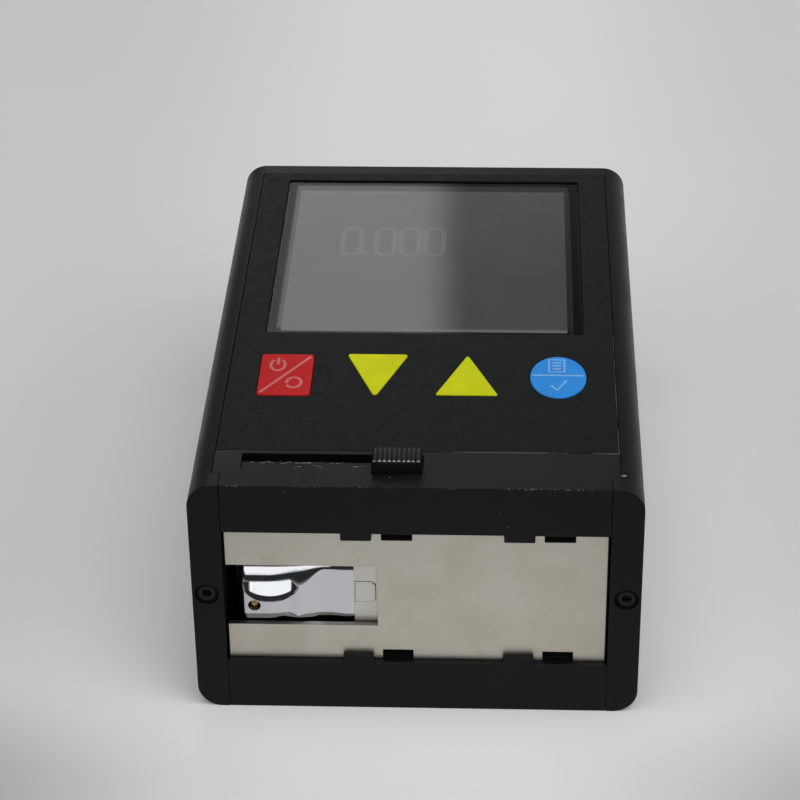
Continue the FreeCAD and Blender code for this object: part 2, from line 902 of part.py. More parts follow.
def make_pickup():
    """A flat arm on a vertical pivot, with a taller head that bulges forward through the window."""
    back = behind("pickup_back")
    arm_end = "pivot_place + eye_reach"
    arm = level_slab(
        "pickup_body",
        [
            ("pickup_left", behind("head_face")),
            ("head_right", behind("head_face")),
            ("arm_left", behind("arm_face")),
            (arm_end, behind("arm_face + arm_slope")),
            (arm_end, back),
            ("pickup_left", back),
        ],
        "arm_low",
        "arm_low + arm_height",
    )
    head = sketch_on(arm, "XY_Plane", "head_low", "Head")
    draw_outline(
        head,
        [
            ("pickup_left", behind("head_face")),
            ("head_right", behind("head_face")),
            ("arm_left", behind("arm_face")),
            ("arm_left", back),
            ("pickup_left", back),
        ],
    )
    pad(arm, head, "head_height")
    edge = SIZES["pickup_left"] + 1e-3
    round_edges(arm, "z", "pickup_round", lambda x, y, z: x < edge)
    pocket_down(
        arm,
        "arm_low + arm_height",
        lambda s: draw_circle(s, "pivot_place", behind("pivot_depth"), "pivot_radius"),
        "arm_height + overcut",
        "Eye",
    )
    pocket_rear(
        arm,
        behind("head_face"),
        lambda s: draw_circle(s, "stylus_place", "stylus_level", "stylus_bore"),
        "pickup_back - head_face - bore_floor",
        "Stylus_bore",
    )
    return arm


def make_stylus():
    holder_start = ("stylus_place", behind("head_face + holder_setback"), "stylus_level")
    holder_length = "pickup_back - head_face - holder_setback - holder_end"
    holder = rod("stylus_holder", "y", holder_start, holder_length, "holder_radius")
    tip_start = ("stylus_place", behind("head_face - tip_proud"), "stylus_level")
    tip = cone("stylus_tip", "y", tip_start, "tip_length", "tip_point", "tip_base")
    return [holder, tip]


def make_pickup_spring():
    """A leaf that pushes the arm forward; it is fixed to the carriage and bears on the arm's back."""
    near = "pickup_back + spring_near"
    low = "arm_low + spring_rise"
    return block(
        "pickup_spring",
        ("carriage_left - spring_left", behind(near), low),
        ("carriage_left + spring_right", behind(near + " + spring_sheet"), low + " + spring_height"),
    )


# ---- traverse drive ----


def carriage_bores():
    bores = []
    for name, level in (("low", "rod_low"), ("high", "rod_high")):
        start = ("carriage_left - overcut", behind("rod_depth"), level)
        bores.append(rod("carriage_bore_" + name, "x", start, "carriage_width + 2 * overcut", "bush_radius"))
    return bores


def make_ears(ear_low):
    """The two lugs of the carriage that hold the pivot pin above and below the arm."""
    ears = []
    for name, low in (("low", ear_low), ("high", "arm_low + arm_height + ear_gap")):
        ears.append(
            block(
                "carriage_ear_" + name,
                ("pivot_place - ear_reach", behind("pivot_depth - ear_front"), low),
                ("pivot_place + ear_reach", behind("carriage_front + overcut"), low + " + ear_thickness"),
            )
        )
    return ears


def make_bushes(right):
    bushes = []
    for row, level in (("low", "rod_low"), ("high", "rod_high")):
        for end, start in (("left", "carriage_left"), ("right", right + " - bush_length")):
            name = "bush_%s_%s" % (row, end)
            inner_start = (start + " - overcut", behind("rod_depth"), level)
            outer = rod(name + "_outer", "x", (start, behind("rod_depth"), level), "bush_length", "bush_radius")
            inner = rod(name + "_inner", "x", inner_start, "bush_length + 2 * overcut", "rod_radius + running_play")
            bushes.append(cut(name, outer, [inner]))
    return group("carriage_bushes", bushes)


def make_nut(rear):
    left = "carriage_left + nut_left"
    nut = block(
        "nut_block",
        (left, behind(rear), "drive_level - nut_half"),
        (left + " + nut_width", behind("screw_depth + nut_reach"), "drive_level + nut_half"),
    )
    bore_start = (left + " - overcut", behind("screw_depth"), "drive_level")
    bore = rod("nut_bore", "x", bore_start, "nut_width + 2 * overcut", "rod_radius + fit_gap")
    return cut("carriage_nut", nut, [bore])


def make_carriage():
    right = "carriage_left + carriage_width"
    rear = "carriage_front + carriage_depth"
    ear_low = "arm_low - ear_thickness - ear_gap"
    core = block(
        "carriage_core",
        ("carriage_left", behind("carriage_front"), "carriage_low"),
        (right, behind(rear), "carriage_low + carriage_height"),
    )
    bore_start = ("pivot_place", behind("pivot_depth"), "carriage_low - overcut")
    pin_bore = rod("ear_bore", "z", bore_start, "carriage_height + 2 * overcut", "pivot_radius")
    solid = fuse("carriage_solid", [core] + make_ears(ear_low))
    carriage = cut("carriage", solid, carriage_bores() + [pin_bore])
    pin_start = ("pivot_place", behind("pivot_depth"), ear_low)
    pin_length = "arm_height + 2 * (ear_thickness + ear_gap)"
    pin = rod("pivot_pin", "z", pin_start, pin_length, "pivot_radius - running_play")
    return [carriage, pin, make_bushes(right), make_nut(rear)]


def bracket_screw_places():
    for side in ("-", ""):
        for depth in ("bracket_near + bracket_screw_end", "bracket_far - bracket_screw_end"):
            yield side + "(bracket_width / 2 - bracket_screw_inset)", behind(depth)


def make_bracket_screws():
    floor_top = "wall + bracket_floor"
    screws = []
    for i, (across, along) in enumerate(bracket_screw_places()):
        name = "bracket_screw_%d" % i
        head_start = (across, along, floor_top)
        head = rod(name + "_head", "z", head_start, "bracket_head_height", "bracket_head_radius")
        shank_start = (across, along, "bracket_shank_low")
        shank_length = floor_top + " - bracket_shank_room"
        shank = rod(name + "_shank", "z", shank_start, shank_length, "bracket_shank_radius")
        screws.append(fuse(name, [head, shank]))
    return group("bracket_screws", screws)


def bracket_walls():
    """The bracket's floor, its two end uprights and the motor's own upright."""
    half = "bracket_width / 2"
    near = behind("bracket_near")
    far = behind("bracket_far")
    upright_far = behind("bracket_upright_far")
    top = "carriage_low + carriage_height + bracket_rise"
    motor_face = "gear_left - motor_wall_gap"
    return [
        block("bracket_base", ("-" + half, near, "wall"), (half, far, "wall + bracket_floor")),
        block("bracket_left", ("-" + half, near, "wall"), ("-%s + bracket_sheet" % half, upright_far, top)),
        block("bracket_right", (half + " - bracket_sheet", near, "wall"), (half, upright_far, top)),
        block(
            "bracket_motor_wall",
            (motor_face + " - motor_wall_sheet", behind("motor_wall_near"), "wall"),
            (motor_face, far, "drive_level + motor_wall_rise"),
        ),
    ]


def bracket_bores():
    """The tools for the two rods, the lead screw's bearings, the motor shaft and the four screws."""
    left = "-bracket_width / 2 - overcut"
    through = "bracket_width + 2 * overcut"
    screw_start = (left, behind("screw_depth"), "drive_level")
    shaft_left = "gear_left - motor_wall_gap - motor_wall_sheet - overcut"
    shaft_start = (shaft_left, behind(MOTOR_DEPTH), "drive_level")
    bores = [
        rod("bracket_rod_low", "x", (left, behind("rod_depth"), "rod_low"), through, "rod_radius"),
        rod("bracket_rod_high", "x", (left, behind("rod_depth"), "rod_high"), through, "rod_radius"),
        rod("bracket_bearing_bore", "x", screw_start, through, "bearing_radius"),
        rod("bracket_shaft_bore", "x", shaft_start, "motor_wall_sheet + 2 * overcut", "shaft_hole_radius"),
    ]
    for i, (across, along) in enumerate(bracket_screw_places()):
        length = "wall + bracket_floor + overcut"
        bores.append(rod("bracket_hole_%d" % i, "z", (across, along, "0"), length, "bracket_hole_radius"))
    return bores


def make_bearings():
    bearings = []
    half = "bracket_width / 2"
    for name, start in (("left", "-" + half), ("right", half + " - bracket_sheet")):
        outer_start = (start, behind("screw_depth"), "drive_level")
        outer = rod("bearing_%s_outer" % name, "x", outer_start, "bracket_sheet", "bearing_radius")
        inner_start = (start + " - overcut", behind("screw_depth"), "drive_level")
        inner_length = "bracket_sheet + 2 * overcut"
        inner = rod("bearing_%s_inner" % name, "x", inner_start, inner_length, "rod_radius + running_play")
        bearings.append(cut("bearing_" + name, outer, [inner]))
    return group("screw_bearings", bearings)


def make_bracket():
    """A folded bracket with the two guide rods and the lead screw's bearings it carries."""
    bracket = cut("drive_bracket", fuse("bracket_solid", bracket_walls()), bracket_bores())
    rods = []
    for name, level in (("low", "rod_low"), ("high", "rod_high")):
        start = ("-bracket_width / 2", behind("rod_depth"), level)
        rods.append(rod("guide_rod_" + name, "x", start, "bracket_width", "rod_radius"))
    return [bracket, group("guide_rods", rods), make_bearings()]


def gear_shape(teeth, bore, turn):
    """A spur gear as a solid along +X from the origin, with straight-flanked teeth and running clearance."""
    module = SIZES["gear_module"]
    pitch_radius = module * teeth / 2
    root = pitch_radius - GEAR_ROOT * module
    tip = pitch_radius + GEAR_TIP * module
    tooth = 2 * math.pi / teeth
    flank = ((-FOOT_SHARE, root), (-CREST_SHARE, tip), (CREST_SHARE, tip), (FOOT_SHARE, root))
    points = []
    for i in range(teeth):
        for share, radius in flank:
            angle = turn + (i + share) * tooth
            points.append(FreeCAD.Vector(0, radius * math.cos(angle), radius * math.sin(angle)))
    wire = Part.makePolygon(points + points[:1])
    along = FreeCAD.Vector(SIZES["gear_face"], 0, 0)
    solid = Part.Face(wire).extrude(along)
    if bore:
        hole = Part.makeCylinder(bore, SIZES["gear_face"] + 2, FreeCAD.Vector(-1, 0, 0), FreeCAD.Vector(1, 0, 0))
        solid = solid.cut(hole)
    return solid


def make_gear(label, teeth, bore, turn, depth):
    """Toothed outlines fit no primitive, so the shape is set here and placed from the sheet."""
    made = doc.addObject("Part::Feature", label)
    made.Shape = gear_shape(teeth, bore, turn)
    place = FreeCAD.Vector(SIZES["gear_left"], depth - SIZES["body_length"] / 2, SIZES["drive_level"])
    made.Placement = FreeCAD.Placement(place, FreeCAD.Rotation())
    return made


def make_drive():
    screw = rod(
        "lead_screw",
        "x",
        ("-bracket_width / 2", behind("screw_depth"), "drive_level"),
        "bracket_width",
        "rod_radius",
    )
    centre_distance = SIZES["gear_module"] * GEAR_PITCH_SUM / 2
    screw_depth = SIZES["screw_depth"]
    gear = make_gear("screw_gear", SCREW_GEAR_TEETH, SIZES["rod_radius"], 0, screw_depth)
    half_tooth = math.pi / PINION_TEETH
    pinion_gear = make_gear("pinion_teeth", PINION_TEETH, 0, math.pi + half_tooth, screw_depth + centre_distance)
    motor_face = "gear_left - motor_wall_gap - motor_wall_sheet"
    shaft_start = (motor_face + " - shaft_depth", behind(MOTOR_DEPTH), "drive_level")
    shaft_length = "gear_face + shaft_depth + motor_wall_gap + motor_wall_sheet"
    shaft = rod("pinion_shaft", "x", shaft_start, shaft_length, "shaft_radius")
    pinion = fuse("motor_pinion", [pinion_gear, shaft])
    case_start = (motor_face + " - motor_length", behind(MOTOR_DEPTH), "drive_level")
    case = rod("motor_case", "x", case_start, "motor_length", "motor_radius")
    bore_start = (motor_face + " - motor_bore_depth", behind(MOTOR_DEPTH), "drive_level")
    bore = rod("motor_bore", "x", bore_start, "motor_bore_depth + overcut", "motor_bore_radius")
    return [screw, gear, pinion, cut("drive_motor", case, [bore])]


def make_switches():
    """One limit switch beyond each end of the carriage."""
    lefts = {
        "home": "carriage_left - switch_gap - switch_width",
        "end": "carriage_left + carriage_width + switch_gap",
    }
    low = "wall + bracket_floor"
    switches = []
    for name, left in lefts.items():
        start = (left, behind("switch_near"), low)
        end = (left + " + switch_width", behind("switch_far"), low + " + switch_height")
        switches.append(block("switch_" + name, start, end))
    return group("limit_switches", switches)


# ---- electronics ----


def post_places():
    board_far = "board_front + board_length"
    for side, across in (("left", "-board_half + post_inset"), ("right", "board_half - post_inset")):
        for end, depth in (("front", "board_front + post_inset"), ("rear", board_far + " - post_inset")):
            yield "%s_%s" % (side, end), across, behind(depth)


def make_board():
    far = behind("board_front + board_length")
    base = block("board_block", ("-board_half", behind("board_front"), "board_level"), ("board_half", far, BOARD_TOP))
    holes = []
    for name, across, along in post_places():
        start = (across, along, "board_level - overcut")
        holes.append(rod("board_hole_" + name, "z", start, "board_thickness + 2 * overcut", "board_hole_radius"))
    return cut("main_board", base, holes)


def make_standoffs():
    posts = []
    for name, across, along in post_places():
        post = rod("post_%s_body" % name, "z", (across, along, "wall"), "board_level - wall", "post_radius")
        bore_start = (across, along, "board_level - post_bore_depth")
        bore = rod("post_%s_bore" % name, "z", bore_start, "post_bore_depth + overcut", "post_bore_radius")
        posts.append(cut("post_" + name, post, [bore]))
    return group("board_standoffs", posts)


def make_board_screws():
    screws = []
    for name, across, along in post_places():
        label = "board_screw_" + name
        shank_start = (across, along, "board_level - board_screw_bite")
        shank = rod(label + "_shank", "z", shank_start, "board_thickness + board_screw_bite", "shank_radius")
        head = rod(label + "_head", "z", (across, along, BOARD_TOP), "board_head_height", "board_head_radius")
        screws.append(fuse(label, [shank, head]))
    return group("board_screws", screws)


def make_chips():
    chips = []
    for i, (left, depth, width, length, height) in enumerate(CHIPS):
        low = (left, behind(depth), BOARD_TOP)
        high = (left + width, behind(depth + length), "%s + %s" % (BOARD_TOP, height))
        chips.append(block("chip_%d" % i, low, high))
    return group("board_chips", chips)


def make_battery():
    near = behind("battery_near")
    far = behind("battery_near + battery_length")
    pad_half = "battery_pad_width / 2"
    pad_top = "wall + battery_pad_thickness"
    pad_block = block("battery_pad", ("-" + pad_half, near, "wall"), (pad_half, far, pad_top))
    outline = rectangle("-battery_width / 2", "battery_width / 2", near, far)
    battery = level_slab("battery", outline, pad_top, pad_top + " + battery_height")
    round_edges(battery, "y", "battery_round")
    return [pad_block, battery]


def make_charge_socket():
    end = REAR + " - socket_setback"
    half = "socket_width / 2"
    inner = half + " - socket_wall"
    middle = BOARD_TOP + " + socket_height / 2"
    tongue_end = REAR + " - tongue_setback"
    case = block(
        "socket_block", ("-" + half, end + " - socket_length", BOARD_TOP), (half, end, BOARD_TOP + " + socket_height")
    )
    hollow = block(
        "socket_hollow",
        ("-(%s)" % inner, end + " - socket_hollow_depth", BOARD_TOP + " + socket_wall"),
        (inner, REAR + " + overcut", BOARD_TOP + " + socket_height - socket_wall"),
    )
    tongue = block(
        "socket_tongue",
        ("-tongue_width / 2", tongue_end + " - tongue_length", middle + " - tongue_height / 2"),
        ("tongue_width / 2", tongue_end, middle + " + tongue_height / 2"),
    )
    return fuse("charge_socket", [cut("socket_shell", case, [hollow]), tongue])


def make_buzzer():
    return rod("buzzer", "z", ("buzzer_place", behind("buzzer_depth"), BOARD_TOP), "buzzer_height", "buzzer_radius")


# ---- assembly ----


def make_all():
    nodes = [make_housing(), make_front_frame()]
    nodes += [make_cheek("left_cheek", -1), make_cheek("right_cheek", 1)]
    nodes.append(group("front_screws", [make_socket_screw("front_screw_%d" % i, i, 1) for i in (-1, 1)]))
    nodes.append(make_rear_cap())
    nodes.append(group("rear_screws", [make_socket_screw("rear_screw_%d" % i, i, -1) for i in (-1, 1)]))
    nodes.append(make_top_panel())
    nodes += [make_key(label) for label in KEYS]
    nodes += make_keypad()
    nodes += make_display()
    nodes += [make_base_plate(), make_shutter()]
    nodes += make_slider()
    nodes.append(make_pickup())
    nodes += make_stylus()
    nodes.append(make_pickup_spring())
    nodes += make_carriage()
    nodes += make_bracket()
    nodes.append(make_bracket_screws())
    nodes += make_drive()
    nodes.append(make_switches())
    nodes += [make_board(), make_standoffs(), make_board_screws(), make_chips()]
    nodes += make_battery()
    nodes += [make_charge_socket(), make_buzzer()]
    return nodes


def check(nodes):
    doc.recompute()
    for thing in doc.Objects:
        if "Invalid" in thing.State or "Error" in thing.State:
            raise RuntimeError("%s did not compute" % thing.Label)
    for node in nodes:
        if node.Shape.isNull() or not node.Shape.isValid():
            raise RuntimeError("%s has no valid shape" % node.Label)


def export(nodes):
    os.makedirs("parts", exist_ok=True)
    for node in nodes:
        node.Shape.exportStep("parts/%s.step" % node.Label)
        box = node.Shape.BoundBox
        print("%-18s %2d solids %9.1f mm3  X %6.2f..%6.2f  Y %6.2f..%6.2f  Z %6.2f..%6.2f" % (
            node.Label, len(node.Shape.Solids), node.Shape.Volume,
            box.XMin, box.XMax, box.YMin, box.YMax, box.ZMin, box.ZMax,
        ))


NODES = make_all()
check(NODES)
export(NODES)
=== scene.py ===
"""Looks of the pocket surface roughness tester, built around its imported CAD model."""

import math
import random

import bmesh
import bpy
from mathutils import Matrix, Vector


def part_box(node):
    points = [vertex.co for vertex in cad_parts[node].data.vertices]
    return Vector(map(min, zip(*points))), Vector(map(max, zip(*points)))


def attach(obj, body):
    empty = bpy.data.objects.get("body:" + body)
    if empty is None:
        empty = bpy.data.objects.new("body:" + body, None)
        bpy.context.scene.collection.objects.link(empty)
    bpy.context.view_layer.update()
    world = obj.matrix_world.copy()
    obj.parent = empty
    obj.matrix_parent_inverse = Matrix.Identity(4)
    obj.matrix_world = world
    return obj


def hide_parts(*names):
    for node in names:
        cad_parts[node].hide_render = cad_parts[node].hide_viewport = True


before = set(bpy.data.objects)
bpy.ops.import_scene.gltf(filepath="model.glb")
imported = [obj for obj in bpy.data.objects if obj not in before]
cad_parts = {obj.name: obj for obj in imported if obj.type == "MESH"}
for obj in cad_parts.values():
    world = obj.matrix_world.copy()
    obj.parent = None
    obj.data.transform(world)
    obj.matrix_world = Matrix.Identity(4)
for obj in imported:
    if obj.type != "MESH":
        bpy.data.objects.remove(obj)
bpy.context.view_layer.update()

MM = 0.001
HOUSING_LOW, HOUSING_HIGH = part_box("housing")
FRAME_LOW, FRAME_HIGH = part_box("front_frame")
FRONT = FRAME_LOW.y
TOP = FRAME_HIGH.z
HALF_WIDTH = HOUSING_HIGH.x

# Faces that meet at less than this many degrees shade as one, on plain pieces and on rounded ones.
PLAIN_ANGLE = 35
ROUNDED_ANGLE = 50

# Edges of CAD nodes that are sharper than this many degrees get softened.
BEVEL_ANGLE = 40


# ---- meshes ----


def new_object(name, mesh):
    made = bpy.data.objects.new(name, mesh)
    bpy.context.scene.collection.objects.link(made)
    return made


def mesh_from(name, points, faces):
    mesh = bpy.data.meshes.new(name)
    mesh.from_pydata(points, [], faces)
    mesh.update()
    return new_object(name, mesh)


def smooth(made, angle=PLAIN_ANGLE):
    made.data.shade_smooth()
    made.data.set_sharp_from_angle(angle=math.radians(angle))
    return made


def applied(made):
    """The same object with its modifiers or curve turned into a plain mesh."""
    graph = bpy.context.evaluated_depsgraph_get()
    graph.update()
    mesh = bpy.data.meshes.new_from_object(made.evaluated_get(graph))
    name = made.name
    matrix = made.matrix_world.copy()
    bpy.data.objects.remove(made)
    mesh.name = name
    result = new_object(name, mesh)
    result.data.transform(matrix)
    return result


def join(name, pieces):
    """One object from several, with their materials dropped."""
    work = bmesh.new()
    for piece in pieces:
        work.from_mesh(piece.data)
    mesh = bpy.data.meshes.new(name)
    work.to_mesh(mesh)
    work.free()
    for piece in pieces:
        bpy.data.objects.remove(piece)
    return new_object(name, mesh)


def rounded(corners, radius, steps=6):
    """A closed outline with an arc at each corner. radius is one number, or one for each corner."""
    radii = radius if isinstance(radius, (list, tuple)) else [radius] * len(corners)
    outline = []
    for i, corner in enumerate(corners):
        here = Vector(corner)
        before = (Vector(corners[i - 1]) - here).normalized()
        after = (Vector(corners[(i + 1) % len(corners)]) - here).normalized()
        half_angle = before.angle(after) / 2
        reach = radii[i] / math.tan(half_angle)
        centre = here + (before + after).normalized() * radii[i] / math.sin(half_angle)
        start = here + before * reach - centre
        end = here + after * reach - centre
        turn = start.angle_signed(end)
        for k in range(steps + 1):
            spot = start.copy()
            spot.rotate(Matrix.Rotation(-turn * k / steps, 2))
            outline.append(tuple(centre + spot))
    return outline


def box_outline(left, right, low, high):
    return [(left, low), (right, low), (right, high), (left, high)]


def ellipse(across, up, half_width, half_height, count=48):
    turns = [2 * math.pi * i / count for i in range(count)]
    return [(across + half_width * math.cos(t), up + half_height * math.sin(t)) for t in turns]


def prism(name, outlines, start, end, bevel, facing="z"):
    """A solid of one outline with holes, with rounded edges, from start to end along its axis.

    Outlines are in x and y for an axis of z, and in x and z for an axis of y.
    """
    curve = bpy.data.curves.new(name, "CURVE")
    curve.dimensions = "2D"
    curve.fill_mode = "BOTH"
    for outline in outlines:
        spline = curve.splines.new("POLY")
        spline.points.add(len(outline) - 1)
        for point, (across, up) in zip(spline.points, outline):
            point.co = (across, up, 0, 1)
        spline.use_cyclic_u = True
    curve.extrude = (end - start) / 2 - bevel
    curve.bevel_depth = bevel
    curve.bevel_resolution = 2
    curve.offset = -bevel
    made = new_object(name, curve)
    middle = (start + end) / 2
    if facing == "z":
        made.matrix_world = Matrix.Translation((0, 0, middle))
    else:
        made.matrix_world = Matrix.Translation((0, middle, 0)) @ Matrix.Rotation(math.pi / 2, 4, "X")
    return smooth(applied(made), ROUNDED_ANGLE)


def stroke(name, lines, width, level, rise=0.02 * MM):
    """Printed lines: flattened tubes along open or closed paths on the plane z = level."""
    curve = bpy.data.curves.new(name, "CURVE")
    curve.dimensions = "3D"
    curve.bevel_depth = width / 2
    curve.bevel_resolution = 3
    curve.use_fill_caps = True
    for points, closed in lines:
        spline = curve.splines.new("POLY")
        spline.points.add(len(points) - 1)
        for point, (across, up) in zip(spline.points, points):
            point.co = (across, up, 0, 1)
        spline.use_cyclic_u = closed
    made = applied(new_object(name, curve))
    made.data.transform(Matrix.Diagonal((1, 1, 2 * rise / width, 1)))
    made.data.transform(Matrix.Translation((0, 0, level)))
    return smooth(made, 60)


def lathe(name, profile, centre, count=40):
    """A turned piece along y, flat at both ends. profile is (distance along the axis, radius) pairs."""
    points = []
    faces = []
    for along, radius in profile:
        for i in range(count):
            turn = 2 * math.pi * i / count
            offset = Vector((radius * math.cos(turn), along, radius * math.sin(turn)))
            points.append(tuple(centre + offset))
    for row in range(len(profile) - 1):
        for i in range(count):
            following = (i + 1) % count
            low = row * count
            faces.append((low + i, low + following, low + count + following, low + count + i))
    faces.append(tuple(range(count)))
    faces.append(tuple(reversed(range(len(points) - count, len(points)))))
    made = mesh_from(name, points, faces)
    work = bmesh.new()
    work.from_mesh(made.data)
    bmesh.ops.recalc_face_normals(work, faces=work.faces)
    work.to_mesh(made.data)
    work.free()
    return smooth(made)


# ---- materials ----

COLOURS = {
    "housing_anodised": (0.005, 0.0048, 0.0043),
    "frame_anodised": (0.0030, 0.0032, 0.0039),
    "link_black": (0.012, 0.012, 0.012),
    "metal_edge_wear_and_highlight": (0.10, 0.10, 0.098),
    "dust": (0.45, 0.45, 0.44),
    "panel_black": (0.0035, 0.0042, 0.0040),
    "pale_edge_paint": (0.07, 0.07, 0.07),
    "knob_black": (0.003, 0.003, 0.003),
    "knob_flank_painted_shade": (0.002, 0.002, 0.002),
    "knob_top": (0.012, 0.012, 0.0118),
    "knob_edge_wear_and_highlight": (0.30, 0.30, 0.29),
    "screw_oxide": (0.004, 0.004, 0.0045),
    "screw_flat_painted_light": (0.009, 0.009, 0.0095),
    "screw_rim_painted_shade": (0.0006, 0.0006, 0.0006),
    "border_black": (0.012, 0.012, 0.012),
    "moulded_black": (0.015, 0.015, 0.015),
    "gasket_rubber": (0.012, 0.012, 0.012),
    "lamp_lens": (0.008, 0.008, 0.008),
    "window_glass": (0.0, 0.0, 0.0),
    "display_grey": (0.02, 0.02, 0.02),
    "figure_pale": (0.02, 0.02, 0.02),
    "plate_nickel": (0.575, 0.545, 0.475),
    "shutter_nickel": (0.63, 0.61, 0.565),
    "nickel_edge_painted_shade": (0.20, 0.19, 0.18),
    "pickup_chrome": (0.62, 0.63, 0.65),
    "stylus_brass": (0.72, 0.46, 0.16),
    "stylus_diamond": (0.35, 0.30, 0.22),
    "bright_steel": (0.60, 0.60, 0.61),
    "machined_alloy": (0.55, 0.55, 0.56),
    "bush_bronze": (0.55, 0.33, 0.13),
    "nut_acetal": (0.65, 0.64, 0.60),
    "board_green": (0.01, 0.10, 0.04),
    "board_track": (0.03, 0.22, 0.09),
    "battery_wrap": (0.03, 0.07, 0.20),
    "key_red": (0.41, 0.009, 0.009),
    "key_yellow": (0.51, 0.535, 0.001),
    "key_blue": (0.024, 0.215, 0.60),
    "print_pale_red": (0.46, 0.11, 0.11),
    "print_pale_blue": (0.15, 0.33, 0.62),
    "lint_pale": (0.30, 0.30, 0.29),
    "floor_paper": (0.74, 0.74, 0.745),
    "paper_dim": (0.68, 0.68, 0.685),
    "paper_pale": (0.71, 0.71, 0.71),
    "paper_painted_light": (0.86, 0.86, 0.86),
    "bench": (0.05, 0.05, 0.05),
    "black": (0.0, 0.0, 0.0),
}
GLOWS = {"display_grey": (0.62, 0.62, 0.60), "figure_pale": (1.05, 1.05, 1.03)}
WARM_CAST = (0.92, 0.90, 0.86)

# Levels of a noise pattern between which a cloudy tone or a streaky finish changes.
CLOUDY = (0.35, 0.7)
STREAKY = (0.3, 0.7)
MOULD_GRAIN = 0.16 * MM
PAINT_CLOUD = 5 * MM
TOUCH_MARKS = 1.4 * MM
SPAN_SOCKETS = ("From Min", "From Max", "To Min", "To Max")


class Look:
    """A Principled material in the colour of its name, with short calls for the nodes that give it detail."""

    def __init__(self, name, roughness, metallic=0.0, **settings):
        self.material = bpy.data.materials.new(name)
        self.material.use_nodes = True
        self.tree = self.material.node_tree
        self.shader = self.tree.nodes["Principled BSDF"]
        self.set("Base Color", (*COLOURS[name], 1))
        self.set("Roughness", roughness)
        self.set("Metallic", metallic)
        for socket, value in settings.items():
            self.set(socket.replace("_", " "), value)
        self.place = self.tree.nodes.new("ShaderNodeTexCoord").outputs["Object"]

    def set(self, socket, value):
        self.shader.inputs[socket].default_value = value

    def node(self, kind, **sockets):
        made = self.tree.nodes.new("ShaderNode" + kind)
        for name, value in sockets.items():
            self.feed(made.inputs[name.replace("_", " ")], value)
        return made

    def feed(self, socket, value):
        if isinstance(value, bpy.types.NodeSocket):
            self.tree.links.new(value, socket)
        else:
            socket.default_value = value

    def noise(self, size, detail=4.0, roughness=0.6, stretch=(1, 1, 1)):
        """Cloudy noise whose lumps are about the given size in metres."""
        mapping = self.node("Mapping", Vector=self.place)
        mapping.inputs["Scale"].default_value = stretch
        texture = self.node("TexNoise", Vector=mapping.outputs["Vector"], Scale=1 / size)
        texture.inputs["Detail"].default_value = detail
        texture.inputs["Roughness"].default_value = roughness
        return texture.outputs["Fac"]

    def specks(self, size):
        """Distance to the nearest of scattered points, in cells of the given size."""
        texture = self.node("TexVoronoi", Vector=self.place, Scale=1 / size)
        return texture.outputs["Distance"]

    def span(self, value, start, end, low=0.0, high=1.0):
        made = self.node("MapRange", Value=value)
        made.interpolation_type = "SMOOTHSTEP"
        for socket, number in zip(SPAN_SOCKETS, (start, end, low, high)):
            made.inputs[socket].default_value = number
        return made.outputs["Result"]

    def math(self, operation, first, second=0.0):
        made = self.node("Math")
        made.operation = operation
        self.feed(made.inputs[0], first)
        self.feed(made.inputs[1], second)
        return made.outputs[0]

    def axis(self, letter):
        return self.node("SeparateXYZ", Vector=self.place).outputs[letter]

    def near(self, letter, value, reach):
        """1 on the plane where a coordinate has the value, fading to 0 at the reach."""
        apart = self.math("ABSOLUTE", self.math("SUBTRACT", self.axis(letter), value))
        return self.span(apart, 0, reach, 1, 0)

    def blend(self, factor, first, second):
        made = self.tree.nodes.new("ShaderNodeMix")
        made.data_type = "RGBA"
        self.feed(made.inputs["Factor"], factor)
        for socket, value in zip((made.inputs[6], made.inputs[7]), (first, second)):
            self.feed(socket, value if isinstance(value, bpy.types.NodeSocket) else (*value, 1))
        return made.outputs[2]

    def paint(self, colour):
        self.feed(self.shader.inputs["Base Color"], colour)
        return self

    def rough(self, value):
        self.feed(self.shader.inputs["Roughness"], value)
        return self

    def bump(self, height, depth, strength=1.0):
        made = self.node("Bump", Height=height)
        made.inputs["Distance"].default_value = depth
        made.inputs["Strength"].default_value = strength
        self.tree.links.new(made.outputs["Normal"], self.shader.inputs["Normal"])
        return self


def scaled(colour, factor):
    return tuple(channel * factor for channel in colour)


def coated_metal(name, roughness, grain, shine, marked_edges=()):
    """Black anodising with a fine blasted grain, cloudy sheen, dust specks and pale marks near given edges,
    partly wear and partly a painted edge highlight.

    Each marked edge is a pair of (axis letter, value) planes that meet in the edge.
    """
    blast_size = 0.22 * MM
    cloud_size = 9 * MM
    dust_spacing = 4.3 * MM
    dust_edge = (0.016, 0.026)
    dust_cover = 0.12
    edge_mark_reach = 0.26 * MM
    long_mark_size = 5 * MM
    short_mark_size = 0.5 * MM
    look = Look(name, roughness, Specular_IOR_Level=shine)
    cloud = look.noise(cloud_size)
    tone = look.blend(look.span(cloud, *CLOUDY), COLOURS[name], scaled(COLOURS[name], 1.35))
    dust = look.span(look.specks(dust_spacing), *dust_edge, 1, 0)
    tone = look.blend(look.math("MULTIPLY", dust, dust_cover), tone, COLOURS["dust"])
    # Pale marks along each given edge: partly wear, partly a painted highlight on the edge.
    for (first, first_value), (second, second_value) in marked_edges:
        first_near = look.near(first, first_value, edge_mark_reach)
        edge = look.math("MULTIPLY", first_near, look.near(second, second_value, edge_mark_reach))
        long_marks = look.span(look.noise(long_mark_size), 0.42, 0.66)
        short_marks = look.span(look.noise(short_mark_size), 0.46, 0.64)
        pale_edge_marks = look.math("MULTIPLY", edge, look.math("MULTIPLY", long_marks, short_marks))
        tone = look.blend(look.span(pale_edge_marks, 0.10, 0.4), tone, COLOURS["metal_edge_wear_and_highlight"])
    look.paint(tone)
    look.rough(look.span(cloud, 0.3, 0.75, roughness - 0.04, roughness + 0.07))
    look.bump(look.noise(blast_size, detail=2), grain)
    return look.material


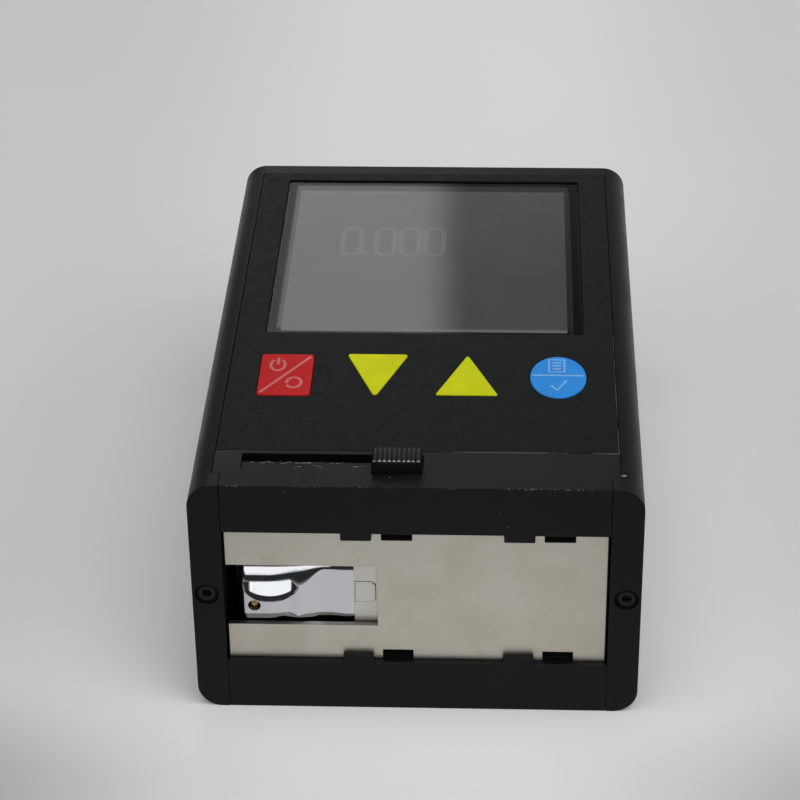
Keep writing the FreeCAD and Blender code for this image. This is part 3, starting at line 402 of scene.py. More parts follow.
def satin_nickel(name, roughness):
    """Plated sheet: fine marks along its length, faint stains, a warm cast and painted shade on the cut
    edges.
    """
    line_size = 0.5 * MM
    line_stretch = (0.06, 1, 1.6)
    line_depth = 0.012 * MM
    stain_size = 7 * MM
    look = Look(name, roughness, metallic=1.0)
    lines = look.noise(line_size, detail=3, stretch=line_stretch)
    stain = look.noise(stain_size, detail=5)
    warm = tuple(channel * share for channel, share in zip(COLOURS[name], WARM_CAST))
    tone = look.blend(look.span(stain, 0.4, 0.72), COLOURS[name], warm)
    # Painted shade: cut edges that face up or down are darker.
    facing = look.node("SeparateXYZ", Vector=look.node("NewGeometry").outputs["True Normal"])
    edge = look.span(look.math("ABSOLUTE", facing.outputs["Z"]), 0.85, 0.95)
    look.paint(look.blend(edge, tone, COLOURS["nickel_edge_painted_shade"]))
    look.rough(look.span(lines, *STREAKY, roughness - 0.05, roughness + 0.07))
    look.bump(lines, line_depth, 0.6)
    return look.material


def polished_chrome(name):
    """Bright plating with the faint swirls that polishing leaves."""
    swirl_size = 0.9 * MM
    ripple_size = 1.6 * MM
    ripple_depth = 0.004 * MM
    smoothest, roughest = 0.05, 0.14
    look = Look(name, smoothest, metallic=1.0)
    swirl = look.noise(swirl_size, detail=4, stretch=(1, 1, 0.25))
    look.rough(look.span(swirl, 0.35, 0.75, smoothest, roughest))
    look.bump(look.noise(ripple_size, detail=2), ripple_depth, 0.5)
    return look.material


def plastic(name, roughness, **settings):
    """Moulded plastic or paint with a fine grain and slightly uneven colour."""
    look = Look(name, roughness, **settings)
    look.paint(look.blend(look.span(look.noise(4 * MM), *CLOUDY), COLOURS[name], scaled(COLOURS[name], 1.12)))
    look.rough(look.span(look.noise(TOUCH_MARKS), *STREAKY, roughness - 0.05, roughness + 0.06))
    look.bump(look.noise(MOULD_GRAIN, detail=2), 0.006 * MM)
    return look.material


def panel_black(name):
    """The lid's matte paint, paler along the right half of its front edge and along its right edge."""
    front_reach = 0.26 * MM
    side_reach = 0.22 * MM
    edge_mark_size = 1.6 * MM
    look = Look(name, 0.5, Specular_IOR_Level=0.1)
    low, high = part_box("top_panel")
    tone = look.blend(look.span(look.noise(PAINT_CLOUD), *CLOUDY), COLOURS[name], scaled(COLOURS[name], 1.15))
    right_half = look.span(look.axis("X"), 0.0, 14 * MM)
    front_half = look.span(look.axis("Y"), low.y + 20 * MM, low.y + 45 * MM, 1, 0)
    # Paler along the right half of the front edge and along the front half of the right edge.
    front_edge = look.math("MULTIPLY", look.near("Y", low.y, front_reach), right_half)
    side_edge = look.math("MULTIPLY", look.near("X", high.x, side_reach), front_half)
    edge = look.math("MAXIMUM", front_edge, side_edge)
    ragged = look.span(look.noise(edge_mark_size, stretch=(0.3, 0.3, 1)), 0.35, 0.6)
    pale_edge_marks = look.math("MULTIPLY", edge, ragged)
    look.paint(look.blend(look.span(pale_edge_marks, 0.05, 0.5), tone, COLOURS["pale_edge_paint"]))
    look.rough(look.span(look.noise(TOUCH_MARKS), *STREAKY, 0.45, 0.56))
    look.bump(look.noise(MOULD_GRAIN, detail=2), 0.010 * MM)
    return look.material


def knob_black(name, edge_y, edge_z):
    """Black moulding with painted light on its top, painted shade on its flanks, and a pale front upper edge
    that is partly wear and partly a painted highlight.
    """
    edge_mark_size = 0.7 * MM
    front_reach = 0.32 * MM
    top_reach = 0.22 * MM
    look = Look(name, 0.36, Specular_IOR_Level=0.22)
    # Painted light on the top and painted shade on the flanks.
    upper = look.span(look.axis("Z"), edge_z - 0.5 * MM, edge_z - 0.1 * MM)
    tone = look.blend(upper, COLOURS["knob_flank_painted_shade"], COLOURS["knob_top"])
    # Pale front upper edge: partly wear, partly a painted highlight.
    edge = look.math("MULTIPLY", look.near("Y", edge_y, front_reach), look.near("Z", edge_z, top_reach))
    pale_edge_marks = look.math("MULTIPLY", edge, look.span(look.noise(edge_mark_size), 0.3, 0.6))
    look.paint(look.blend(look.span(pale_edge_marks, 0.05, 0.35), tone, COLOURS["knob_edge_wear_and_highlight"]))
    look.bump(look.noise(MOULD_GRAIN, detail=2), 0.006 * MM)
    return look.material


def screw_oxide(name):
    """Black oxide, with painted shade on the chamfered rim, which is darkest, and painted light on the flat
    round the socket.
    """
    flat_roughness, rim_roughness = 0.30, 0.8
    look = Look(name, flat_roughness, Specular_IOR_Level=0.2)
    low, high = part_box("front_screws")
    radius = (high.z - low.z) / 2
    across = look.math("SUBTRACT", look.math("ABSOLUTE", look.axis("X")), high.x - radius)
    up = look.math("SUBTRACT", look.axis("Z"), (low.z + high.z) / 2)
    distance = look.math("SQRT", look.math("ADD", look.math("POWER", across, 2), look.math("POWER", up, 2)))
    # Painted shade on the chamfered rim and painted light on the flat round the socket.
    rim = look.span(distance, 0.66 * radius, 0.80 * radius)
    look.paint(look.blend(rim, COLOURS["screw_flat_painted_light"], COLOURS["screw_rim_painted_shade"]))
    look.rough(look.span(rim, 0, 1, flat_roughness, rim_roughness))
    look.bump(look.noise(0.2 * MM, detail=2), 0.008 * MM)
    return look.material


def machined_metal(name, roughness):
    """Turned or milled bare metal with fine marks."""
    look = Look(name, roughness, metallic=1.0)
    marks = look.noise(0.4 * MM, detail=3)
    look.paint(look.blend(look.span(look.noise(3 * MM), 0.4, 0.7), COLOURS[name], scaled(COLOURS[name], 0.8)))
    look.rough(look.span(marks, *STREAKY, roughness - 0.06, roughness + 0.08))
    look.bump(marks, 0.006 * MM, 0.5)
    return look.material


def window_glass(name):
    """Dark glass that mirrors strongly over the display and less over its printed border."""
    fade = 1.2 * MM
    smear_size = 14 * MM
    border_alpha, display_alpha = 0.30, 0.74
    clean_roughness, smeared_roughness = 0.03, 0.09
    look = Look(name, clean_roughness, Specular_IOR_Level=1.0)
    low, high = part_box("display_panel")
    shift = BORDER_LAP / 4
    across = look.math("ABSOLUTE", look.math("ADD", look.axis("X"), shift))
    along = look.math("ABSOLUTE", look.math("SUBTRACT", look.axis("Y"), (low.y + high.y) / 2 + shift))
    half_width = high.x - BORDER_LAP + shift
    half_length = (high.y - low.y) / 2 - BORDER_LAP / 2
    across_fade = look.span(across, half_width, half_width + fade, 1, 0)
    along_fade = look.span(along, half_length, half_length + fade, 1, 0)
    inside = look.math("MULTIPLY", across_fade, along_fade)
    look.feed(look.shader.inputs["Alpha"], look.span(inside, 0, 1, border_alpha, display_alpha))
    smear = look.noise(smear_size, detail=3, stretch=(1, 0.4, 1))
    look.rough(look.span(smear, 0.4, 0.75, clean_roughness, smeared_roughness))
    return look.material


def display_light(name):
    """The light of a dim, switched-on display, with broad uneven patches."""
    patch_size = 18 * MM
    look = Look(name, 0.5, Specular_IOR_Level=0.2)
    cloud = look.noise(patch_size, detail=2)
    tone = look.blend(look.span(cloud, *CLOUDY), scaled(GLOWS[name], 0.85), GLOWS[name])
    look.feed(look.shader.inputs["Emission Color"], tone)
    look.set("Emission Strength", 1.0)
    return look.material


def board_resin(name):
    """Solder resist with fine copper tracks showing through."""
    track_spacing = 5 * MM
    track_width = 0.03
    look = Look(name, 0.35)
    brick = look.node("TexBrick", Vector=look.place, Scale=1 / track_spacing)
    brick.inputs["Mortar Size"].default_value = track_width
    tracks = look.span(brick.outputs["Fac"], 0.4, 0.6)
    look.paint(look.blend(tracks, COLOURS[name], COLOURS["board_track"]))
    look.bump(tracks, 0.01 * MM, 0.5)
    return look.material


def coat(node_names, material):
    """Gives CAD nodes a material, in every slot."""
    for name in node_names:
        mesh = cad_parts[name].data
        mesh.materials.clear()
        mesh.materials.append(material)


def dress(piece, material, body):
    """Material and body of a new piece."""
    piece.data.materials.clear()
    piece.data.materials.append(material)
    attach(piece, body)
    return piece


def soften(node_names, width, segments=2):
    """Rounds the sharp edges of CAD nodes a little with modifiers."""
    for name in node_names:
        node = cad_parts[name]
        weld = node.modifiers.new("weld", "WELD")
        weld.merge_threshold = 0.001 * MM
        edge = node.modifiers.new("edge", "BEVEL")
        edge.width = width
        edge.segments = segments
        edge.limit_method = "ANGLE"
        edge.angle_limit = math.radians(BEVEL_ANGLE)
        edge.harden_normals = False
        node.data.shade_smooth()
        finish = node.modifiers.new("shade", "WEIGHTED_NORMAL")
        finish.keep_sharp = True


# ---- camera, floor and light ----

# Lens and sensor in millimetres, place in metres, angles in degrees.
LENS = 120.2
SENSOR_WIDTH = 36
CAMERA_PLACE = (0.0135, -0.3881, 0.2695)
CAMERA_DOWN = 32.2
CAMERA_TURN = -2.66
CAMERA_ROLL = -0.8
FLOOR_HALF = 2.0

# Painted shade and painted light on the floor, in metres: each pair is where a change starts and ends.
SIDE_RANGE = (0.015, 0.085)
SIDE_SHADE = 0.14
CORNER_RANGE = (-0.075, -0.042)
CORNER_SHADE = 0.42
BESIDE_RANGE = (0.040, 0.075)
BESIDE_LIFT = 0.55
MIDDLE_RANGE = (0.030, 0.080)
BENCH_RANGE = (-0.34, -0.24)

# The studio's light by direction: each pair is where a change starts and ends. Height is how far up a
# direction points, depth how far to the rear, and bearing how far to the right for each step to the rear.
REAR_DEPTH = (-0.1, 0.4)
LEAST_DEPTH = 0.05
WALL_HEIGHT = (0.44, 0.53)
WALL_LIGHT = (0.42, 0.16)
LIT_FROM = (-0.30, -0.15)
LIT_TO = (-0.038, -0.016)
LIT_LIGHT = 1.35
CEILING_HEIGHT = (0.62, 0.80)
CEILING_LIGHT = 0.30
FAR_LEFT = (-0.7, -0.3)
FAR_LEFT_LIGHT = 0.5
FRONT_HEIGHT = (0.40, 0.52)
FRONT_LIGHT = (0.03, 1.42)
STUDIO_WHITE = (0.98, 0.99, 1.0, 1)

SOFTBOX_PLACE = (0.45, -0.35, 0.7)
SOFTBOX_TARGET = (0, 0, 0.02)
SOFTBOX_SIZE = 0.7
SOFTBOX_POWER = 1.9


def make_camera():
    data = bpy.data.cameras.new("camera")
    data.lens = LENS
    data.sensor_width = SENSOR_WIDTH
    data.clip_start = 10 * MM
    camera = new_object("camera", data)
    pitch = math.radians(CAMERA_DOWN)
    yaw = math.radians(CAMERA_TURN)
    roll = math.radians(CAMERA_ROLL)
    forward = Vector((math.sin(yaw) * math.cos(pitch), math.cos(yaw) * math.cos(pitch), -math.sin(pitch)))
    level = forward.cross(Vector((0, 0, 1))).normalized()
    upright = level.cross(forward)
    side = level * math.cos(roll) + upright * math.sin(roll)
    up = upright * math.cos(roll) - level * math.sin(roll)
    turn = Matrix((side, up, -forward)).transposed().to_4x4()
    camera.matrix_world = Matrix.Translation(CAMERA_PLACE) @ turn
    bpy.context.scene.camera = camera


def make_floor():
    """White paper with painted shade to the sides and at the near corners, and painted light close beside the
    object.

    It ends in a dark bench below the camera.
    """
    look = Look("floor_paper", 0.75)
    paper = look.blend(look.span(look.noise(0.25), *CLOUDY), COLOURS["paper_dim"], COLOURS["paper_pale"])
    sideways = look.math("ABSOLUTE", look.axis("X"))
    # Painted shade: darker to the sides and at the near corners.
    away = look.span(sideways, *SIDE_RANGE)
    paper = look.blend(look.math("MULTIPLY", away, SIDE_SHADE), paper, COLOURS["black"])
    corner = look.math("MULTIPLY", away, look.span(look.axis("Y"), *CORNER_RANGE, CORNER_SHADE, 0.0))
    paper = look.blend(corner, paper, COLOURS["black"])
    # Painted light: paler close beside the object.
    beside = look.span(sideways, *BESIDE_RANGE, BESIDE_LIFT, 0.0)
    middle = look.span(look.math("ABSOLUTE", look.axis("Y")), *MIDDLE_RANGE, 1.0, 0.0)
    paper = look.blend(look.math("MULTIPLY", beside, middle), paper, COLOURS["paper_painted_light"])
    look.paint(look.blend(look.span(look.axis("Y"), *BENCH_RANGE), COLOURS["bench"], paper))
    look.bump(look.noise(0.8 * MM, detail=2), 0.01 * MM, 0.4)
    outline = box_outline(-FLOOR_HALF, FLOOR_HALF, -FLOOR_HALF, FLOOR_HALF)
    floor = mesh_from("floor", [(x, y, 0) for x, y in outline], [(0, 1, 2, 3)])
    floor.data.materials.append(look.material)


def make_world():
    """A pale studio: a bright rear wall left of the middle, a dim one elsewhere, and dark low in front."""
    world = bpy.data.worlds.new("studio")
    world.use_nodes = True
    bpy.context.scene.world = world
    tree = world.node_tree
    background = tree.nodes["Background"]

    def node(kind, **sockets):
        made = tree.nodes.new("ShaderNode" + kind)
        for name, value in sockets.items():
            feed(made.inputs[name], value)
        return made

    def feed(socket, value):
        if isinstance(value, bpy.types.NodeSocket):
            tree.links.new(value, socket)
        else:
            socket.default_value = value

    def span(value, start, end, low=0.0, high=1.0):
        made = node("MapRange", Value=value)
        made.interpolation_type = "SMOOTHSTEP"
        for socket, number in zip(SPAN_SOCKETS, (start, end, low, high)):
            made.inputs[socket].default_value = number
        return made.outputs["Result"]

    def combine(operation, first, second):
        made = node("Math")
        made.operation = operation
        feed(made.inputs[0], first)
        feed(made.inputs[1], second)
        return made.outputs[0]

    parts = node("SeparateXYZ", Vector=node("TexCoord").outputs["Generated"])
    sideways, depth, height = parts.outputs["X"], parts.outputs["Y"], parts.outputs["Z"]
    rear = span(depth, *REAR_DEPTH)
    bearing = combine("DIVIDE", sideways, combine("MAXIMUM", depth, LEAST_DEPTH))
    dim_side = span(height, *WALL_HEIGHT, *WALL_LIGHT)
    lit_side = combine("MULTIPLY", span(bearing, *LIT_FROM), span(bearing, *LIT_TO, 1.0, 0.0))
    extra = combine("SUBTRACT", LIT_LIGHT, dim_side)
    rear_wall = combine("ADD", dim_side, combine("MULTIPLY", lit_side, extra))
    rear_ceiling = combine("MULTIPLY", span(height, *CEILING_HEIGHT), CEILING_LIGHT)
    rear_left = combine("MULTIPLY", rear, span(bearing, *FAR_LEFT, FAR_LEFT_LIGHT, 1.0))
    rear_light = combine("MULTIPLY", rear_left, combine("MAXIMUM", rear_wall, rear_ceiling))
    front = combine("SUBTRACT", 1.0, rear)
    front_light = combine("MULTIPLY", front, span(height, *FRONT_HEIGHT, *FRONT_LIGHT))
    tree.links.new(combine("ADD", rear_light, front_light), background.inputs["Strength"])
    background.inputs["Color"].default_value = STUDIO_WHITE


def make_softbox():
    """One large soft light, high at the front right."""
    place = Vector(SOFTBOX_PLACE)
    data = bpy.data.lights.new("softbox", "AREA")
    data.shape = "SQUARE"
    data.size = SOFTBOX_SIZE
    data.energy = SOFTBOX_POWER
    light = new_object("softbox", data)
    aim = (Vector(SOFTBOX_TARGET) - place).to_track_quat("-Z", "Y")
    light.matrix_world = Matrix.Translation(place) @ aim.to_matrix().to_4x4()


# ---- keys, lid and display ----

KEYS = ("power_key", "down_key", "up_key", "menu_key")
KEY_FLANGE = 0.6 * MM
FLANGE_HEIGHT = 1 * MM
UP_KEY_SETBACK = 0.9 * MM
WINDOW_END = -6.1 * MM
BORDER_LAP = 0.7 * MM
PANEL_GAP = 0.07 * MM
WINDOW_GAP = 0.1 * MM
LAMP_RADIUS = 0.8 * MM

FIGURES_LEFT = -15.4 * MM
FIGURES_NEAR = FRONT + 74.6 * MM
FIGURE_HEIGHT = 9.6 * MM
FIGURE_WIDTH = 3.2 * MM
FIGURE_PITCH = 4.35 * MM
FIGURE_ROUND = 1.4 * MM
FIGURE_STROKE = 0.9 * MM


def key_outline(name, grow=0.0):
    """The visible outline of a key, from its CAD box less the hidden flange."""
    low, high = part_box(name)
    left = low.x + KEY_FLANGE - grow
    right = high.x - KEY_FLANGE + grow
    near = low.y + KEY_FLANGE - grow
    far = high.y - KEY_FLANGE + grow
    middle = (left + right) / 2
    if name == "power_key":
        return rounded(box_outline(left, right, near, far), 0.7 * MM)
    if name == "down_key":
        return rounded([(middle, near), (right, far), (left, far)], 0.45 * MM)
    if name == "up_key":
        base = near + UP_KEY_SETBACK
        return rounded([(left, base), (right, base), (middle, far)], 0.3 * MM)
    return ellipse(middle, (near + far) / 2, (right - left) / 2, (far - near) / 2)


def arc(across, up, half_width, half_height, start, end, count=24):
    turns = [math.radians(start + (end - start) * i / count) for i in range(count + 1)]
    return [(across + half_width * math.cos(t), up + half_height * math.sin(t)) for t in turns]


def make_keys():
    """The four keys, each a face with soft edges on a hidden flange, and the symbols on two of them."""
    red = ("key_red", key_plastic("key_red"))
    yellow = ("key_yellow", key_plastic("key_yellow"))
    blue = ("key_blue", key_plastic("key_blue"))
    for name, (slot, material) in zip(KEYS, (red, yellow, yellow, blue)):
        low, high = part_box(name)
        shoulder = low.z + FLANGE_HEIGHT
        cap = prism(name + "_cap", [key_outline(name)], shoulder, high.z, 0.12 * MM)
        flange = prism(name + "_flange", [key_outline(name, KEY_FLANGE)], low.z, shoulder, 0.1 * MM)
        key = smooth(join(name + "_face", [cap, flange]), ROUNDED_ANGLE)
        dress(key, material, name)
        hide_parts(name)
    print_red_key()
    print_blue_key()


def key_plastic(name):
    return plastic(name, 0.45, Specular_IOR_Level=0.08)


def print_red_key():
    """A dividing line, a power symbol at the rear left and a back arrow at the front right."""
    low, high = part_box("power_key")
    centre = (low + high) / 2
    half = (high - low) / 2
    inset_x = KEY_FLANGE + 0.5 * MM
    inset_y = KEY_FLANGE + 0.7 * MM
    divider = [(low.x + inset_x, low.y + inset_y), (high.x - inset_x, high.y - inset_y)]
    power_x = centre.x - 0.30 * half.x
    power_y = centre.y + 0.42 * half.y
    ring = arc(power_x, power_y, 1.15 * MM, 1.75 * MM, 125, 415)
    bar = [(power_x, power_y + 0.1 * MM), (power_x, power_y + 2.2 * MM)]
    back_x = centre.x + 0.30 * half.x
    back_y = centre.y - 0.36 * half.y
    hook = arc(back_x, back_y, 1.2 * MM, 1.55 * MM, 150, -150)
    tip_x, tip_y = hook[0]
    head = [(tip_x - 0.1 * MM, tip_y - 1.0 * MM), (tip_x, tip_y), (tip_x + 1.1 * MM, tip_y + 0.9 * MM)]
    lines = [(line, False) for line in (divider, ring, bar, hook, head)]
    pale = plastic("print_pale_red", 0.5)
    dress(stroke("power_key_print", lines, 0.5 * MM, high.z), pale, "power_key")


def print_blue_key():
    """A dividing line with a page of three rows behind it and a tick in front of it."""
    low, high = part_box("menu_key")
    x, y, level = (low.x + high.x) / 2, (low.y + high.y) / 2, high.z
    reach = (high.x - low.x) / 2 - KEY_FLANGE - 0.3 * MM
    split = y + 0.5 * MM
    lines = [([(x - reach, split), (x + reach, split)], False)]
    lines.append((box_outline(x - 1.45 * MM, x + 1.05 * MM, y + 1.6 * MM, y + 5.3 * MM), True))
    tick = [(x - 1.2 * MM, y - 2.6 * MM), (x - 0.2 * MM, y - 4.0 * MM), (x + 1.3 * MM, y - 1.1 * MM)]
    lines.append((tick, False))
    for i in range(3):
        row = y + (2.5 + 0.95 * i) * MM
        lines.append(([(x - 0.9 * MM, row), (x + 0.5 * MM, row)], False))
    pale = plastic("print_pale_blue", 0.5)
    dress(stroke("menu_key_print", lines, 0.45 * MM, level), pale, "menu_key")


def make_top_panel():
    """The lid, with an opening for each key, the display window and the lamp."""
    low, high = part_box("top_panel")
    window_low, window_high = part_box("display_window")
    lamp_low, lamp_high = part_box("status_lamp")
    lamp = (lamp_low + lamp_high) / 2
    openings = [key_outline(name, PANEL_GAP) for name in KEYS]
    left, right = window_low.x - WINDOW_GAP, window_high.x + WINDOW_GAP
    near, far = window_low.y - WINDOW_GAP, window_high.y + WINDOW_GAP
    openings.append(rounded(box_outline(left, right, near, far), 0.5 * MM))
    openings.append(ellipse(lamp.x, lamp.y, LAMP_RADIUS, LAMP_RADIUS, 20))
    edge = rounded(box_outline(low.x, high.x, low.y, high.y), 0.15 * MM, 2)
    panel = prism("top_panel_sheet", [edge] + openings, low.z, high.z, 0.1 * MM)
    dress(panel, panel_black("panel_black"), "root")
    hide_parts("top_panel")


def make_display():
    """The grey lit area, the black printed border of the window, and faint figures on the display."""
    low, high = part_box("display_panel")
    window_low, window_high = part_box("display_window")
    outline = rounded(box_outline(low.x, high.x, low.y, high.y), 0.2 * MM)
    sheet = prism("display_sheet", [outline], low.z, high.z, 0.08 * MM)
    dress(sheet, display_light("display_grey"), "root")
    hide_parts("display_panel")
    gap = 0.15 * MM
    print_depth = 0.05 * MM
    outer = box_outline(window_low.x + gap, window_high.x - gap, window_low.y + gap, window_high.y - gap)
    near = low.y + BORDER_LAP / 2
    inner = box_outline(low.x + BORDER_LAP / 2, high.x - BORDER_LAP, near, high.y - 0.02 * MM)
    start = window_low.z - print_depth
    border = prism("window_border", [outer, rounded(inner, 0.3 * MM)], start, window_low.z, 0.01 * MM)
    dress(border, plastic("border_black", 0.35), "root")
    make_figures(high.z)


def make_figures(level):
    """A reading of 0.000 in faint pale strokes."""
    near = FIGURES_NEAR
    far = near + FIGURE_HEIGHT
    lines = []
    for place in (0, 1.35, 2.35, 3.35):
        start = FIGURES_LEFT + place * FIGURE_PITCH
        lines.append((rounded(box_outline(start, start + FIGURE_WIDTH, near, far), FIGURE_ROUND), True))
    point = FIGURES_LEFT + 0.98 * FIGURE_PITCH
    lines.append(([(point, near), (point, near + 1.0 * MM)], False))
    figures = stroke("display_figures", lines, FIGURE_STROKE, level)
    dress(figures, display_light("figure_pale"), "root")


# ---- shutter and knob ----

LEAF_SETBACK = 0.22 * MM
TAB_HALF_HEIGHT = 1.9 * MM
TAB_ROUND = 0.8 * MM
KNOB_RIBS = 10
RIB_DEPTH = 0.38 * MM
KNOB_SLOPE = 0.55 * MM
KNOB_DRAFT = 0.035

# One rib across its pitch: share of the pitch from the rib's start, and share of the valley's depth.
RIB_SHAPE = ((0.06, 1.0), (0.16, 0.28), (0.34, 0.0), (0.66, 0.0), (0.84, 0.28), (0.94, 1.0))


def make_shutter():
    """The shutter leaf with its embossed tab, which has rounded corners and soft edges."""
    low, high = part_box("shutter_plate")
    leaf_front = low.y + LEAF_SETBACK
    edge = rounded(box_outline(low.x, high.x, low.z, high.z), 0.25 * MM)
    leaf = prism("shutter_leaf", [edge], leaf_front, high.y, 0.07 * MM, facing="y")
    middle = (low.z + high.z) / 2
    tab_bottom, tab_top = middle - TAB_HALF_HEIGHT, middle + TAB_HALF_HEIGHT
    tab = box_outline(low.x + 0.1 * MM, WINDOW_END - 0.25 * MM, tab_bottom, tab_top)
    outline = rounded(tab, [0.1 * MM, TAB_ROUND, TAB_ROUND, 0.1 * MM])
    raised = prism("shutter_tab", [outline], low.y, leaf_front + 0.2 * MM, 0.15 * MM, facing="y")
    shutter = smooth(join("shutter_embossed", [leaf, raised]), ROUNDED_ANGLE)
    dress(shutter, satin_nickel("shutter_nickel", 0.36), "shutter")
    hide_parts("shutter_plate")


def make_knob():
    """The slider's knob: cross ribs on top, with a sloped front and drafted sides."""
    low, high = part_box("slider_knob")
    pitch = (high.x - low.x) / KNOB_RIBS
    profile = [(low.x, low.z), (high.x, low.z)]
    for i in range(KNOB_RIBS):
        start = high.x - i * pitch
        profile += [(start - share * pitch, high.z - RIB_DEPTH * drop) for share, drop in RIB_SHAPE]
    knob = prism("slider_knob_ribbed", [profile], low.y, high.y, 0.05 * MM, facing="y")
    middle = (low + high) / 2
    for vertex in knob.data.vertices:
        share = (vertex.co.z - low.z) / (high.z - low.z)
        if vertex.co.y < middle.y:
            vertex.co.y += KNOB_SLOPE * share
        else:
            vertex.co.y -= 0.5 * KNOB_SLOPE * share
        vertex.co.x -= (vertex.co.x - middle.x) * 2 * KNOB_DRAFT * share
    dress(knob, knob_black("knob_black", low.y + KNOB_SLOPE, high.z), "shutter")
    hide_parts("slider_knob")


# ---- pick-up, in millimetres: x across, z up from the underside, depth behind the measuring face ----

PICKUP_LEFT = -27.8
PICKUP_LOW = 15.75
PICKUP_TOP = 26.4
ARM_TOP_DROP = 1.1
ARM_TOP_RANGE = (-18.5, -13.5)

# Where the head narrows to the neck, and where the neck widens to the arm.
NECK_RANGE = (-20.0, -18.4)
ARM_RANGE = (-18.4, -14.4)

# The flat face ends at this level, where the rounded upper edge begins.
FLAT_TOP = 23.35
NECK_DIP = 1.25
ARM_RISE = 2.35
BAND_TOP = 24.25
LEAST_BAND = 0.2

HEAD_DEPTH = 1.95
ARM_DEPTH = 1.75
DEPTH_RANGE = (-23.5, -14.5)

HOLLOW_MIDDLE = -22.8
HOLLOW_HALF_WIDTH = 4.4
HOLLOW_LOW = 19.3
HOLLOW_CURVE = 3.3
HOLLOW_FLOOR = ((0, 0.25), (0.95, 0.5), (1.05, 0.7), (5, 0.7))
HOLLOW_WALL = ((0, 0.3), (0.15, 1.6), (5, 1.6))

# The bevel under the head fades out at the neck, and the arm leans forward below its crease.
BEVEL_HEIGHT = 1.5
BEVEL_NARROWING = 0.55
BEVEL_SLOPE = 0.36
BEVEL_END = (-21.6, -18.6)
ARM_CREASE = 18.2
ARM_LEAN = 0.15
LEAN_RANGE = (-18.4, -15.6)

END_ROUND = 1.2
LOWER_END_ROUND = 0.9

FACE_ROWS = 120
HEAD_LENGTH = 14.4
HEAD_COLUMNS = 160
ARM_COLUMNS = 16
BACK_MARGIN = 0.5

BORE_RADIUS = 1.0 * MM
EYE_RADIUS = 2.2 * MM
PIN_HOLE_RADIUS = 0.78 * MM


def ramp(value, start, end):
    share = min(1.0, max(0.0, (value - start) / (end - start)))
    return share * share * (3 - 2 * share)


def quarter_round(distance, radius):
    """How far a rounded corner falls back at a distance from the end of the piece."""
    inside = min(radius, max(0.0, radius - distance))
    return radius - math.sqrt(max(0.0, radius**2 - inside**2))


def tilted(rise, slopes):
    """Depth gained over a rise. slopes are (height, slope) pairs, with an even change between them."""
    depth = 0.0
    for (low, first), (high, last) in zip(slopes, slopes[1:]):
        part = min(max(rise - low, 0.0), high - low)
        depth += part * (first + (last - first) * part / (high - low) / 2)
    return depth


def round_start(x):
    """Level where the flat front ends and the rounded upper edge begins."""
    return FLAT_TOP - NECK_DIP * ramp(x, *NECK_RANGE) + ARM_RISE * ramp(x, *ARM_RANGE)


def hollow_depth(x, z):
    """The D-shaped hollow: a floor that slopes back and up inside half an ellipse, open at the top."""
    across = (x - HOLLOW_MIDDLE) / HOLLOW_HALF_WIDTH
    if abs(across) >= 1 or z > round_start(x):
        return 0.0
    drop = HOLLOW_CURVE * (1 - math.sqrt(1 - across**2))
    floor = tilted(z - HOLLOW_LOW - 0.7 * drop, HOLLOW_FLOOR)
    wall = tilted(z - HOLLOW_LOW - drop, HOLLOW_WALL)
    return min(floor, wall)


def face_depth(x, z):
    """Depth of the pick-up's face behind the measuring face."""
    start = round_start(x)
    band_top = BAND_TOP + 0.5 * ramp(x, -18.8, -14.0) + 0.6 * ramp(x, -14.0, -11.0)
    band = max(LEAST_BAND, band_top - start)
    slopes = ((0, 0.25), (band, 0.5), (band + 0.12, 0.62), (band + 1.5, 0.85), (band + 2.2, 6.0))
    shoulder = HEAD_DEPTH + ARM_DEPTH * ramp(x, *DEPTH_RANGE)
    depth = shoulder - tilted(band, slopes) + tilted(z - start, slopes) + hollow_depth(x, z)
    bevel_top = pickup_bottom(x) + BEVEL_HEIGHT - BEVEL_NARROWING * ramp(x, -26, -17)
    depth += BEVEL_SLOPE * max(0.0, bevel_top - z) * (1 - ramp(x, *BEVEL_END))
    depth -= ARM_LEAN * max(0.0, ARM_CREASE - z) * ramp(x, *LEAN_RANGE)
    return depth + END_ROUND * quarter_round(x - PICKUP_LEFT, END_ROUND)


def pickup_bottom(x):
    """Level of the lower edge, which arches up to the neck and again towards the shutter."""
    arch = 0.4 * ramp(x, -27.5, -18.5) - 0.4 * ramp(x, -18.5, -15.4) + 0.3 * ramp(x, -13.0, -9.0)
    return PICKUP_LOW + arch + quarter_round(x - PICKUP_LEFT, LOWER_END_ROUND)


def loft_arm(left, right, back):
    """The arm and head as one mesh, with a ring of points at each column: the face, then the flat back."""
    columns = [left + HEAD_LENGTH * (i / HEAD_COLUMNS) for i in range(HEAD_COLUMNS + 1)]
    neck = columns[-1]
    columns += [neck + (right - neck) * (i / ARM_COLUMNS) for i in range(1, ARM_COLUMNS + 1)]
    ring = FACE_ROWS + 2
    points = []
    for x in columns:
        bottom = pickup_bottom(x)
        top = PICKUP_TOP - ARM_TOP_DROP * ramp(x, *ARM_TOP_RANGE)
        levels = [bottom + (top - bottom) * k / (FACE_ROWS - 1) for k in range(FACE_ROWS)]
        loop = [(min(face_depth(x, z), back - BACK_MARGIN), z) for z in levels]
        loop += [(back, top), (back, bottom)]
        points += [(x * MM, FRONT + depth * MM, z * MM) for depth, z in loop]
    faces = []
    for i in range(len(columns) - 1):
        here = i * ring
        beyond = here + ring
        for k in range(ring):
            following = (k + 1) % ring
            faces.append((here + k, beyond + k, beyond + following, here + following))
    faces.append(tuple(range(ring)))
    faces.append(tuple(reversed(range(len(points) - ring, len(points)))))
    return mesh_from("pickup_arm", points, faces)


